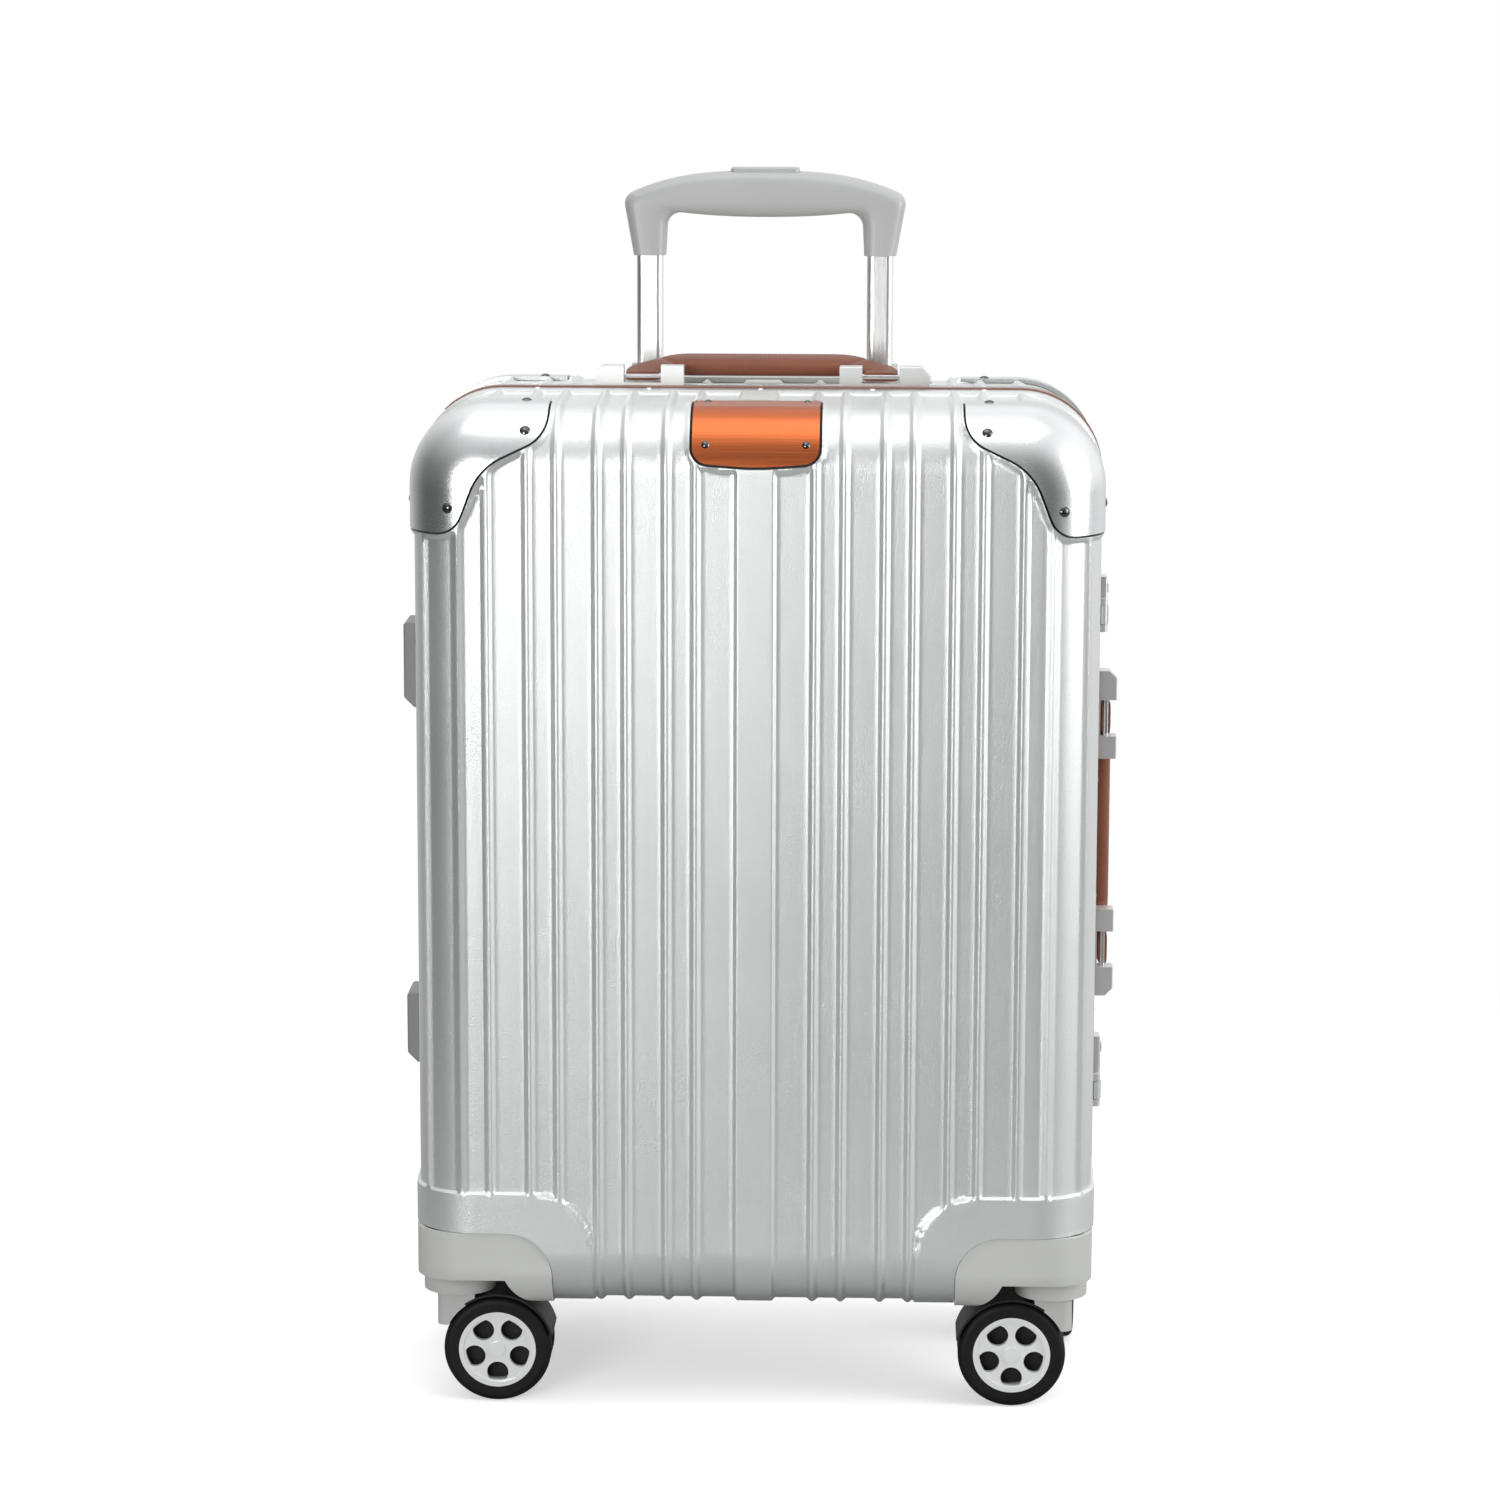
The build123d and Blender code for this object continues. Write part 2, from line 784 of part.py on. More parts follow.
def make_hasp_base(z, length):
    """The hinge block of a hasp on the front frame, with its ears and riveted pin in one piece."""
    hasp_z = hasp_place(z, length)
    half = hasp_width / 2 + hasp_clear
    outer = half + hasp_ear
    axis_x, axis_y = hasp_axis()
    base = block(half_width, half_width + hasp_plate / 2, -frame_width, -rebate, hasp_z - outer, hasp_z + outer)
    for side in (-1, 1):
        z0 = min(side * half, side * outer) + hasp_z
        ear = rod((axis_x, axis_y, z0), (0, 0, 1), hasp_barrel, hasp_ear)
        ear += block(half_width, axis_x, axis_y - hasp_barrel, axis_y + hasp_barrel, z0, z0 + hasp_ear)
        base += ear
    return base + rod((axis_x, axis_y, hasp_z - outer), (0, 0, 1), hasp_pin_radius, 2 * outer)


def dial_places():
    last = button_slot(lower_lock_z, lower_lock_length) - 2 * dial_gap - dial_width / 2
    return [last - k * dial_pitch for k in (2, 1, 0)]


# Carry handles, drawn along X on a face at z = 0 and then placed on the frame


def make_bracket():
    half = bracket_depth / 2
    outer = handle_half_span
    inner = outer - bracket_length
    gap_in = inner + bracket_inner_post
    gap_out = gap_in + bracket_gap
    bracket = block(inner, outer, bracket_y - half, bracket_y + half, 0, bracket_height)
    corner = bracket.edges().filter_by(Axis.Y).sort_by(Axis.Z)[-2:].sort_by(Axis.X)[-1]
    bracket = chamfer(corner, bracket_chamfer)
    bracket = fillet(bracket.faces().sort_by(Axis.Z)[-1].edges(), bracket_edge)
    bracket -= block(gap_in, gap_out, -far, far, bracket_floor, far)
    hole = (gap_in - bracket_inner_post / 2, bracket_y, handle_pin_height)
    return bracket - rod(hole, (1, 0, 0), handle_pin_radius, bracket_gap + bracket_inner_post)


def make_handle_pin():
    inner = handle_half_span - bracket_length + bracket_inner_post / 2
    start = (inner, bracket_y, handle_pin_height)
    return rod(start, (1, 0, 0), handle_pin_radius, bracket_gap + bracket_inner_post)


def make_handle(tilt):
    """The padded carry handle: two pivot ends, sloping necks and an oval grip, lying back."""
    gap_in = handle_half_span - bracket_length + bracket_inner_post + handle_side_gap
    gap_out = gap_in + bracket_gap - 2 * handle_side_gap
    tail = handle_strap / 2
    ends = Polygon(
        (gap_in, -tail),
        (gap_out, -tail),
        (gap_out, handle_neck),
        (handle_grip_half + handle_join_outer, handle_reach + handle_join_outer),
        (handle_grip_half - handle_join, handle_reach + handle_join_overlap),
        (handle_grip_half - handle_join, handle_reach - handle_join_inner),
        (gap_in, handle_neck),
        align=None,
    )
    strap = Pos(0, 0, -tail) * extrude(ends, handle_strap)
    pivot = rod((gap_in, 0, 0), (1, 0, 0), tail, gap_out - gap_in)
    bore = rod((0, 0, 0), (1, 0, 0), handle_pin_radius + running_gap, far)
    side = strap - block(0, far, -far, 0, -far, far) + pivot - bore
    section = Plane.YZ.offset(-handle_grip_half) * Pos(handle_reach, 0)
    oval = Ellipse(handle_grip_depth / 2, handle_grip_thickness / 2)
    grip = extrude(section * oval, 2 * handle_grip_half)
    handle = grip + side + side.mirror(Plane.YZ)
    return Pos(0, bracket_y, handle_pin_height) * Rot(tilt, 0, 0) * handle


def on_top(shape):
    return Pos(0, 0, frame_top) * shape


def on_right(shape):
    return Pos(half_width, 0, side_handle_z) * Rot(0, 90, 0) * shape


# Trolley


def tube_size(stage):
    grow = 2 * stage * (tube_gap + tube_wall)
    return inner_tube[0] + grow, inner_tube[1] + grow, tube_round + grow / 2


def tube_solid(stage, low, high, extra=0.0):
    width, depth, bend = tube_size(stage)
    outline = RectangleRounded(width + 2 * extra, depth + 2 * extra, bend + extra)
    return Pos(trolley_x, trolley_y, low) * extrude(outline, high - low)


def tube(stage, low, high):
    return tube_solid(stage, low, high) - tube_solid(stage, low, high, -tube_wall)


def bezel_top():
    return top_height(trolley_y - tube_size(2)[1] / 2, bezel_thickness)


def make_bezel(gap):
    skin = to_back(body_form(bezel_thickness) - body_form(gap))
    size = (bezel_length - 2 * gap, bezel_depth - 2 * gap, bezel_round - gap)
    outline = Pos(0, trolley_y) * RectangleRounded(*size)
    bezel = skin & (Pos(0, 0, z_mid) * extrude(outline, far))
    for hole in both_sides(tube_solid(2, 0, far, tube_gap)):
        bezel -= hole
    return bezel


def make_base():
    floor = 2 * z_mid - top_height(trolley_y) + wall
    half = base_length / 2
    deep = base_depth / 2
    base = block(-half, half, trolley_y - deep, trolley_y + deep, floor, tube_low + base_height)
    base &= to_back(body_form(-wall))
    for socket in both_sides(tube_solid(2, tube_low, far)):
        base -= socket
    return base


def collar_low():
    return bezel_top() + slide_gap


def make_collar():
    top = collar_low() + collar_height
    return tube_solid(1, collar_low(), top, collar_wall) - tube_solid(0, 0, far, tube_gap)


def make_grip():
    leg_half = inner_tube[0] / 2 + leg_wall
    leg_out = trolley_x + leg_half
    leg_in = trolley_x - leg_half
    half = [
        (leg_out, grip_leg_low),
        (leg_in, grip_leg_low),
        (leg_in - grip_arch_bend[0], grip_arch_z - grip_arch_bend[1]),
        (grip_arch_x, grip_arch_z),
    ]
    left = [(-x, z) for x, z in reversed(half)]
    outline = Polyline((grip_half_width, grip_shoulder), *half)
    outline += ThreePointArc(half[-1], (0, grip_underside), left[0])
    outline += Polyline(*left, (-grip_half_width, grip_shoulder))
    ends = [(-grip_half_width, grip_shoulder), (grip_half_width, grip_shoulder)]
    outline += ThreePointArc(ends[0], (0, grip_top), ends[1])
    grip = extrude(Plane.XZ.offset(-trolley_y - grip_depth / 2) * make_face(outline), grip_depth)
    shoulders = grip.edges().filter_by(Axis.Y).filter_by_position(
        Axis.Z, grip_shoulder - 1, grip_shoulder + 1
    )
    grip = fillet(shoulders, grip_round)
    faces = grip.faces().filter_by(Axis.Y)
    return fillet([edge for face in faces for edge in face.edges()], leg_wall * 2)


def hollow_grip(grip):
    for socket in both_sides(tube_solid(0, grip_leg_low - 1, inner_tube_top)):
        grip -= socket
    press = trolley_button_travel + slide_gap
    room = bar_top - bar_height - press
    wide = bar_width / 2 + slide_gap
    long = trolley_x + rod_radius + slide_gap
    deep = bar_top - inner_tube_top
    y = trolley_y
    grip -= block(-long, long, y - wide, y + wide, room, bar_top + slide_gap)
    for hole in both_sides(rod((trolley_x, y, inner_tube_top - 1), (0, 0, 1), rod_radius + slide_gap, deep)):
        grip -= hole
    return grip - button_prism(slide_gap, bar_top - press, far)


def button_prism(extra, low, high):
    length, width = trolley_button
    outline = RectangleRounded(length + 2 * extra, width + 2 * extra, trolley_button_round + extra)
    return Pos(0, trolley_y, low) * extrude(outline, high - low)


def make_trolley_button():
    button = button_prism(0, bar_top, grip_top + trolley_button_proud)
    return fillet(button.faces().sort_by(Axis.Z)[-1].edges(), trolley_button_edge)


def make_release_bar():
    long = trolley_x + rod_radius
    wide = bar_width / 2
    bar = block(-long, long, trolley_y - wide, trolley_y + wide, bar_top - bar_height, bar_top)
    low = inner_tube_low + tube_step
    for side in both_sides(rod((trolley_x, trolley_y, low), (0, 0, 1), rod_radius, bar_top - low)):
        bar += side
    return bar


# Side feet


def make_foot(span, hooked, seat):
    low, high = span
    base = side_reach(foot_front + foot_depth) - wall
    outline = Polygon(
        (-base, low),
        (-foot_face + foot_slope, low),
        (-foot_face, low + foot_slope),
        (-foot_face, high),
        (-base, high),
        align=None,
    )
    foot = extrude(Plane.XZ.offset(-foot_front) * outline, foot_depth, dir=(0, 1, 0))
    outer = foot.faces().sort_by(Axis.X)[0]
    foot = fillet(outer.edges(), foot_round)
    if hooked:
        foot -= block(-foot_face + hook_wall, 0, -far, far, high - hook_depth, far)
    return foot - seat


def save(name, shapes):
    solids = shapes if isinstance(shapes, list) else [shapes]
    shape = solids[0] if len(solids) == 1 else Compound(children=solids)
    export_step(shape, os.path.join("parts", name + ".step"))


def save_casters():
    fork = make_fork()
    hood = make_hood(fork)
    tyre = make_tyre()
    hub = make_hub()
    axle = make_axle()
    pieces = {
        "fork": [fork],
        "hood": [hood],
        "axle": [axle],
        "tyres": [tyre, to_back(tyre)],
        "hubs": [hub, to_back(hub)],
    }
    for end, y, turn in (("front", -swivel_y, 0), ("rear", swivel_y, rear_turn)):
        for side, x in (("left", -swivel_x), ("right", swivel_x)):
            for piece, shapes in pieces.items():
                turned = [Rot(0, 0, turn) * shape for shape in shapes]
                handed = [shape.mirror(Plane.YZ) if x < 0 else shape for shape in turned]
                save(f"{end}_{side}_{piece}", [Pos(x, y, 0) * shape for shape in handed])


def save_shells():
    panel = body_form(0)
    crest = body_form(rib_height)
    inner = inner_space(-wall, wall)
    guards = both_sides(make_guard())
    bezel = make_bezel(cover_gap)
    cups = both_sides(make_cup())
    guard_seats = both_sides(cover_seat(guard_outline(), guard_reach))
    plate_seat = cover_seat(plate_outline(), plate_reach)
    front = make_shell(panel, raised_parts(crest, True), inner, guard_seats + [plate_seat])
    rear = make_shell(panel, raised_parts(crest, False), inner, guard_seats)
    rear = to_back(rear) - make_bezel(0)
    for hole in both_sides(tube_solid(2, z_mid, far, tube_gap)):
        rear -= hole
    save("front_shell", front)
    save("rear_shell", rear)
    save("front_guards", guards)
    save("rear_guards", [to_back(guard) for guard in guards])
    save("front_cups", cups)
    save("rear_cups", [to_back(cup) for cup in cups])
    save("name_plate", make_plate())
    save("trolley_bezel", bezel)
    save("front_rivets", make_rivets(True) + make_frame_rivets((-2, -1, 0, 1, 2)))
    rear_rivets = make_rivets(False) + make_frame_rivets((-2, 0, 2))
    save("rear_rivets", [to_back(rivet) for rivet in rear_rivets])
    save("front_lining", make_lining(half_depth - wall - lining_gap))
    save("rear_lining", to_back(make_lining(lining_back)))
    seat = to_back(body_form(cover_gap))
    save("side_feet", [make_foot(upper_foot, True, seat), make_foot(lower_foot, False, seat)])


def save_frames():
    frame = make_frame()
    save("front_frame", frame)
    save("rear_frame", to_back(frame))
    save("frame_seal", make_seal())
    save("hinge_front_leaves", [front_leaf(z) for z in hinge_heights])
    save("hinge_rear_leaves", [rear_leaf(z) for z in hinge_heights])
    save("hinge_pins", [hinge_pin(z) for z in hinge_heights])


def save_latches():
    upper = (upper_lock_z, upper_lock_length)
    lower = (lower_lock_z, lower_lock_length)
    window = lock_body(*lower)
    axis_x = half_width + lock_height - dial_radius + hasp_clear
    mid = (rebate + seal_clear + frame_width) / 2
    places = dial_places()
    for name, place in zip("123", places):
        low = place - dial_width / 2
        dial = rod((axis_x, mid, low), (0, 0, 1), dial_radius, dial_width)
        bore = rod((axis_x, mid, low), (0, 0, 1), dial_pin_radius + running_gap, dial_width)
        save("lock_dial_" + name, dial - bore)
    low = places[0] - dial_width / 2 - dial_gap
    high = places[-1] + dial_width / 2 + dial_gap
    room = dial_radius + hasp_clear
    window -= block(half_width + hasp_clear / 2, far, mid - room, mid + room, low, high)
    window += rod((axis_x, mid, low), (0, 0, 1), dial_pin_radius, high - low)
    save("lock_bodies", [lock_body(*upper), window])
    for name, place in (("upper", upper), ("lower", lower)):
        save(name + "_hasp", make_hasp(*place))
        save(name + "_lock_button", make_button(*place))
    save("hasp_bases", [make_hasp_base(*upper), make_hasp_base(*lower)])


def save_handles():
    brackets = both_sides(make_bracket())
    pins = both_sides(make_handle_pin())
    save("handle_brackets", [on_top(b) for b in brackets] + [on_right(b) for b in brackets])
    save("handle_pins", [on_top(p) for p in pins] + [on_right(p) for p in pins])
    save("top_handle", on_top(make_handle(top_handle_tilt)))
    save("side_handle", on_right(make_handle(side_handle_tilt)))


def save_trolley():
    high = bezel_top()
    save("trolley_outer_tubes", both_sides(tube(2, tube_low, high)))
    save("trolley_base", make_base())
    save("trolley_mid_tubes", both_sides(tube(1, tube_low + tube_step, high + slide_gap)))
    save("trolley_mid_collars", both_sides(make_collar()))
    save("trolley_inner_tubes", both_sides(tube(0, inner_tube_low, inner_tube_top)))
    save("trolley_grip", hollow_grip(make_grip()))
    save("trolley_button", make_trolley_button())
    save("trolley_release_bar", make_release_bar())


def main():
    os.makedirs("parts", exist_ok=True)
    save_casters()
    save_frames()
    save_latches()
    save_handles()
    save_trolley()
    save_shells()


main()
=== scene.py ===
import json
from math import cos, exp, hypot, pi, radians, sin, sqrt, tan

import bmesh
import bpy
import numpy as np
from mathutils import Matrix, Vector


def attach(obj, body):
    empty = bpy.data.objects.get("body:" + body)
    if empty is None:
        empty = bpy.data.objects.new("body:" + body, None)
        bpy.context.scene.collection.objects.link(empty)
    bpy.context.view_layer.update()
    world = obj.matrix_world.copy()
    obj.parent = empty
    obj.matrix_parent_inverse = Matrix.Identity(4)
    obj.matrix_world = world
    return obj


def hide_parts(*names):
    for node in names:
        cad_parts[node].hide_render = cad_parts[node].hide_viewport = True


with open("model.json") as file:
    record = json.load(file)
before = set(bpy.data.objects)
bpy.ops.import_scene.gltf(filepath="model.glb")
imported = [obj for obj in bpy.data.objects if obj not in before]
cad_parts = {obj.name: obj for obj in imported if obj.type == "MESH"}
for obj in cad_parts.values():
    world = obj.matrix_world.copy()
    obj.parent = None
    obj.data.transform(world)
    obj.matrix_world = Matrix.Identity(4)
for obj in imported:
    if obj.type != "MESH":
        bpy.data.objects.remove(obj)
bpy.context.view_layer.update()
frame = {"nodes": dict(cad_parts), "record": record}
nodes = frame["nodes"]

# Sizes are in millimetres, and angles in degrees
MM = 0.001

# Body, and the tongue of the sheet that goes into the frame
half_width = 189.5
frame_top = 560.5
frame_bottom = 57.0
corner_radius = 45.0
half_depth = 110.5
draft = 1.2
edge_radius = 33.0
panel_inset = 1.7
frame_width = 16.0
tongue_start = frame_width + 0.3
tongue_depths = (tongue_start - 0.05, 11.0, 6.0)
sheet = 2.2

# Ribs, bands, corner lands and lips, each with the run of its flank
rib_height = 2.0
rib_half = 3.6
rib_flank = 3.2
rib_pairs = 4
first_pair = 40.0
rib_pitch = 37.5
rib_pair_gap = 15.7
corner_bead = 179.0
centre_band = 11.2
centre_flank = 2.4
rim_band = 5.0
rim_flank = 1.4
band_lap = 0.6
land_top = 126.5
land_inner = 88.0
land_corner = 34.0
land_flank = 1.6
land_lap = 0.4
lip_width = 4.4
lip_flank = 2.6
lip_fade = 2.0

# Rows and columns of the pressed sheet's grid, close together where its form changes
closest_column = 0.3
widest_column = 2.4
closest_row = 0.5
fine_row = 1.3
wide_row = 16.0
land_rows_end = 132.0
guard_rows_start = 484.0
corner_steps = 16
side_facing = 0.999
top_facing = 0.97
guard_depths = (76.0, 58.0)
guard_depth_step = 1.5
plain_depths = (52.0, 44.0, 36.0, 30.0, 26.0, 23.5)
rim_depths = (22.6, 20.8)
last_depth = 19.0

# Covers in the front view, with the bends at their corners, and places well outside the case
far_x = 400.0
far_top = 700.0
far_low = -100.0
far_depth = 200.0
cover_gap = 1.2
guard_reach = 48.0
guard_levels = (0.2, 2.4)
guard_path = [(112.4, far_top), (112.4, 544.5), (148.8, 527.5), (162.5, 492.0), (far_x, 492.0)]
guard_bends = [18.0, 34.0, 14.0]
plate_reach = 49.5
plate_half = 34.4
plate_side = 530.5
plate_low = 528.0
plate_bends = [9.0, 150.0, 9.0]
cup_top = 103.5
cup_inner = 111.0
cup_bend = 25.0
cup_back = 24.0
bezel_size = (190.0, 38.0, 8.0)
bezel_cut = (480.0, 640.0)

# Carry handles: flat strap ends and the stuffed roll between them
strap_x = 66.6
strap_low = -1.0
elbow_height = 8.5
elbow_bend = 9.0
roll_x = 47.0
roll_height = 24.0
roll_bend = 16.0
strap_half = (9.6, 2.5)
roll_swell = (1.6, 2.9)
fill_share = 0.26
strap_square = 0.42
roll_round = 0.43
seam_side = 0.6
seam_depth = 0.05
seam_width = 0.02
pucker_depth = 0.012
pucker_rate = 260
crease_depth = 0.16
crease_place = 0.345
crease_width = 0.012
bracket_y = 9.6
pin_height = 5.6
side_handle_z = 308.0
top_handle_tilt = 10.0
side_handle_tilt = -4.0

# Stitches on the handles
stitch_count = 46
stitch_span = (0.2, 0.8)
stitch_across = 0.80
stitch_over = 0.64
stitch_half_length = 0.95
stitch_radius = 0.32
stitch_end = 0.35
stitch_lift = 0.1
stitch_bow = 0.28

# Trolley grip
trolley_x = 65.6
trolley_y = 74.0
inner_tube = 14.8
leg_wall = 1.8
grip_top = 677.0
grip_half_width = 80.5
grip_leg_low = 629.5
grip_depth = 26.0
grip_square = 0.55
crown_drop = 13.5
crown_power = 2.8
crown_start = 60.0
shoulder_out = 0.3
shoulder_drop = 14.0
shoulder_bend = 7.0
bar_height = 26.0
bar_bow = 1.4
bar_span = 40.0
arch_in = 1.2
arch_drop = 22.8
arch_end = (30.0, grip_top - 25.0)
arch_bend = 8.0
button_size = (39.0, 13.0, 3.0)
button_gap = 0.6
button_floor = 659.5

# Casters
swivel_x = 165.5
swivel_y = 72.5
trail = 22.0
wheel_radius = 30.0
# Dark discs behind the wheel windows, which paint in the shade inside the wheel
shade_disc_place = 6.8
shade_disc_inner = 6.4
shade_disc_outer = 18.6
shade_disc_thickness = 0.8

# Floor in millimetres, and the camera's place in metres
floor_reach = 2200.0
camera_place = (0.0705, -2.6, 0.8114)
camera_turn = 1.68
camera_dip = 9.94
camera_roll = 0.15
camera_lens = 112.2

# Worked out from the sizes above
z_mid = (frame_top + frame_bottom) / 2
half_height = (frame_top - frame_bottom) / 2
lean = radians(draft)
slope = tan(lean)
panel_corner = corner_radius - panel_inset
straight_x = half_width - corner_radius
straight_z = half_height - corner_radius
arc_y = half_depth - edge_radius
arc_inset = edge_radius / cos(lean) + (arc_y - frame_width) * slope
flat_run = panel_corner - arc_inset


# Materials


class Wire:
    """A value in a material's tree, with arithmetic on it."""

    def __init__(self, tree, socket):
        self.tree = tree
        self.socket = socket

    def math(self, operation, *values):
        return add_node(self.tree, "ShaderNodeMath", {"operation": operation}, dict(enumerate(values)))

    def __add__(self, other):
        return self.math("ADD", self, other)

    def __radd__(self, other):
        return self.math("ADD", other, self)

    def __sub__(self, other):
        return self.math("SUBTRACT", self, other)

    def __rsub__(self, other):
        return self.math("SUBTRACT", other, self)

    def __mul__(self, other):
        return self.math("MULTIPLY", self, other)

    def __rmul__(self, other):
        return self.math("MULTIPLY", other, self)

    def __abs__(self):
        return self.math("ABSOLUTE", self)

    def larger(self, other):
        return self.math("MAXIMUM", self, other)

    def ramp(self, low, high, to_low=0.0, to_high=1.0):
        values = {"Value": self, "From Min": low, "From Max": high, "To Min": to_low, "To Max": to_high}
        return add_node(self.tree, "ShaderNodeMapRange", {}, values)

    def mix(self, first, second):
        """A colour between two colours, by this value."""
        values = {0: self, 6: first, 7: second}
        return add_node(self.tree, "ShaderNodeMix", {"data_type": "RGBA"}, values, 2)


def add_node(tree, kind, settings, inputs, output=0):
    """Adds a node, its settings first and then its sockets, and gives one of its outputs."""
    node = tree.nodes.new(kind)
    for key, value in settings.items():
        setattr(node, key, value)
    for key, value in inputs.items():
        if isinstance(value, Wire):
            tree.links.new(value.socket, node.inputs[key])
        else:
            node.inputs[key].default_value = value
    return Wire(tree, node.outputs[output])


def grey(level):
    return (level, level, level, 1.0)


def shade(colour, factor):
    return tuple(min(1.0, c * factor) for c in colour) + (1.0,)


class Skin:
    """A material being made: its shader, and the place on the piece in metres."""

    def __init__(self, name, **constants):
        self.material = bpy.data.materials.new(name)
        self.material.use_nodes = True
        self.tree = self.material.node_tree
        self.shader = self.tree.nodes["Principled BSDF"]
        self.place = self.node("ShaderNodeTexCoord", {}, {}, "Object")
        for key, value in constants.items():
            self.shader.inputs[key.replace("_", " ")].default_value = value

    def node(self, kind, settings, inputs, output=0):
        return add_node(self.tree, kind, settings, inputs, output)

    def stretched(self, factors):
        values = {0: self.place, 1: factors}
        return self.node("ShaderNodeVectorMath", {"operation": "MULTIPLY"}, values)

    def noise(self, scale, detail, factors=(1, 1, 1)):
        values = {"Vector": self.stretched(factors), "Scale": scale, "Detail": detail}
        return self.node("ShaderNodeTexNoise", {}, values)

    def cells(self, scale, feature="F1"):
        values = {"Vector": self.place, "Scale": scale}
        return self.node("ShaderNodeTexVoronoi", {"feature": feature}, values)

    def threads(self, direction):
        settings = {"wave_type": "BANDS", "bands_direction": direction}
        values = {"Vector": self.place, "Scale": 520.0, "Distortion": 0.4}
        return self.node("ShaderNodeTexWave", settings, values, 1)

    def edges(self):
        """Near 1 on outer edges and corners, 0 on flats."""
        sharp = self.node("ShaderNodeNewGeometry", {}, {}, "Pointiness")
        return sharp.ramp(0.56, 0.70)

    def put(self, key, wire):
        self.tree.links.new(wire.socket, self.shader.inputs[key])

    def bump(self, height, depth, strength):
        values = {"Strength": strength, "Distance": depth, "Height": height}
        self.put("Normal", self.node("ShaderNodeBump", {}, values))


def metal(name, colour, roughness, grain, depth, factors=(1, 1, 1), metallic=1.0, wear=0.25):
    """Satin metal: fine grain in its surface, soft mottling and edges rubbed brighter."""
    skin = Skin(name, Metallic=metallic)
    broad = skin.noise(9.0, 3.0)
    fine = skin.noise(grain, 2.0, factors)
    worn = skin.edges() * wear
    tint = broad.ramp(0.3, 0.7).mix(shade(colour, 0.96), shade(colour, 1.03))
    grained = fine.ramp(0.25, 0.75).mix(shade(colour, 0.93), tint)
    skin.put("Base Color", worn.mix(grained, shade(colour, 1.25)))
    skin.put("Roughness", roughness + (broad - 0.5) * 0.06 + (fine - 0.5) * 0.10 - worn * 0.1)
    skin.bump(fine, depth, 0.6)
    return skin.material


def plastic(name, colour, roughness, grain, depth, **constants):
    """Moulded plastic: an eroded mould texture, cloudy tone and edges polished by handling."""
    skin = Skin(name, **constants)
    broad = skin.noise(12.0, 4.0)
    fine = skin.cells(grain)
    pores = skin.noise(grain * 0.6, 3.0)
    worn = skin.edges() * 0.2
    tint = broad.ramp(0.3, 0.7).mix(shade(colour, 0.94), shade(colour, 1.04))
    skin.put("Base Color", worn.mix(tint, shade(colour, 1.2)))
    skin.put("Roughness", roughness + (broad - 0.5) * 0.12 + (pores - 0.5) * 0.08 - worn * 0.12)
    skin.bump(fine * 0.6 + pores * 0.4, depth, 0.5)
    return skin.material


def leather(name, colour):
    """Smooth cow leather: fine pebbled grain with pores and creases, cloudy dye, and painted shade in the
    grain's valleys.
    """
    skin = Skin(name, Specular_IOR_Level=0.32, Coat_Roughness=0.35, Coat_Weight=0.08)
    broad = skin.noise(16.0, 4.0)
    pebble = skin.cells(1400.0, "DISTANCE_TO_EDGE")
    pores = skin.noise(2600.0, 2.0)
    crease = skin.noise(140.0, 3.0, (1.0, 0.35, 1.0))
    dye = broad.ramp(0.3, 0.7).mix(shade(colour, 0.80), shade(colour, 1.12))
    valley = pebble.ramp(0.0, 0.12)
    # Painted shade: the valleys between the pebbles are darkened in the colour.
    skin.put("Base Color", valley.mix(shade(colour, 0.62), dye))
    skin.put("Roughness", 0.47 + (broad - 0.5) * 0.15 - valley * 0.08)
    skin.bump(valley * 0.5 + pores * 0.2 + crease * 0.6, 0.0003, 0.55)
    return skin.material


def cloth(name, colour):
    """Plain woven lining cloth: threads with slubs, a few puckers and a little sheen."""
    skin = Skin(name, Sheen_Weight=0.3, Sheen_Roughness=0.5)
    broad = skin.noise(10.0, 4.0)
    across = skin.threads("X") * 0.9
    along = skin.threads("Z") * 0.8
    deep = skin.threads("Y") * 0.8
    thread = across.larger(along.larger(deep))
    slub = skin.noise(700.0, 2.0, (1.0, 1.0, 0.12))
    puckers = skin.noise(28.0, 3.0)
    tone = broad.ramp(0.3, 0.7).mix(shade(colour, 0.85), shade(colour, 1.15))
    skin.put("Base Color", (thread * 0.7 + slub * 0.3).mix(shade(colour, 0.55), tone))
    skin.put("Roughness", 0.82 + (slub - 0.5) * 0.2)
    skin.bump(thread * 0.1 + slub * 0.05 + puckers, 0.003, 0.8)
    return skin.material


def rubber(name, colour, roughness):
    """Tyre rubber: a matt bloom, fine specks and edges scuffed paler."""
    skin = Skin(name, Specular_IOR_Level=0.25)
    bloom = skin.noise(60.0, 5.0)
    speck = skin.noise(1800.0, 2.0)
    worn = skin.edges() * 0.3
    tone = bloom.ramp(0.35, 0.75).mix(shade(colour, 0.75), shade(colour, 1.5))
    skin.put("Base Color", worn.mix(tone, shade(colour, 2.4)))
    skin.put("Roughness", roughness + (bloom - 0.5) * 0.2)
    skin.bump(speck * 0.6 + bloom * 0.4, 0.0002, 0.5)
    return skin.material


def copper(name, colour):
    """Anodised copper plate, brushed from side to side under a thin clear layer."""
    skin = Skin(name, Metallic=1.0, Coat_Weight=0.15, Coat_Roughness=0.30)
    brushed = skin.noise(260.0, 3.0, (0.05, 6.0, 6.0))
    broad = skin.noise(22.0, 2.0)
    skin.put("Base Color", brushed.ramp(0.25, 0.75).mix(shade(colour, 0.80), shade(colour, 1.10)))
    skin.put("Roughness", 0.30 + (brushed - 0.5) * 0.10 + (broad - 0.5) * 0.04)
    skin.bump(brushed, 0.0002, 0.35)
    return skin.material


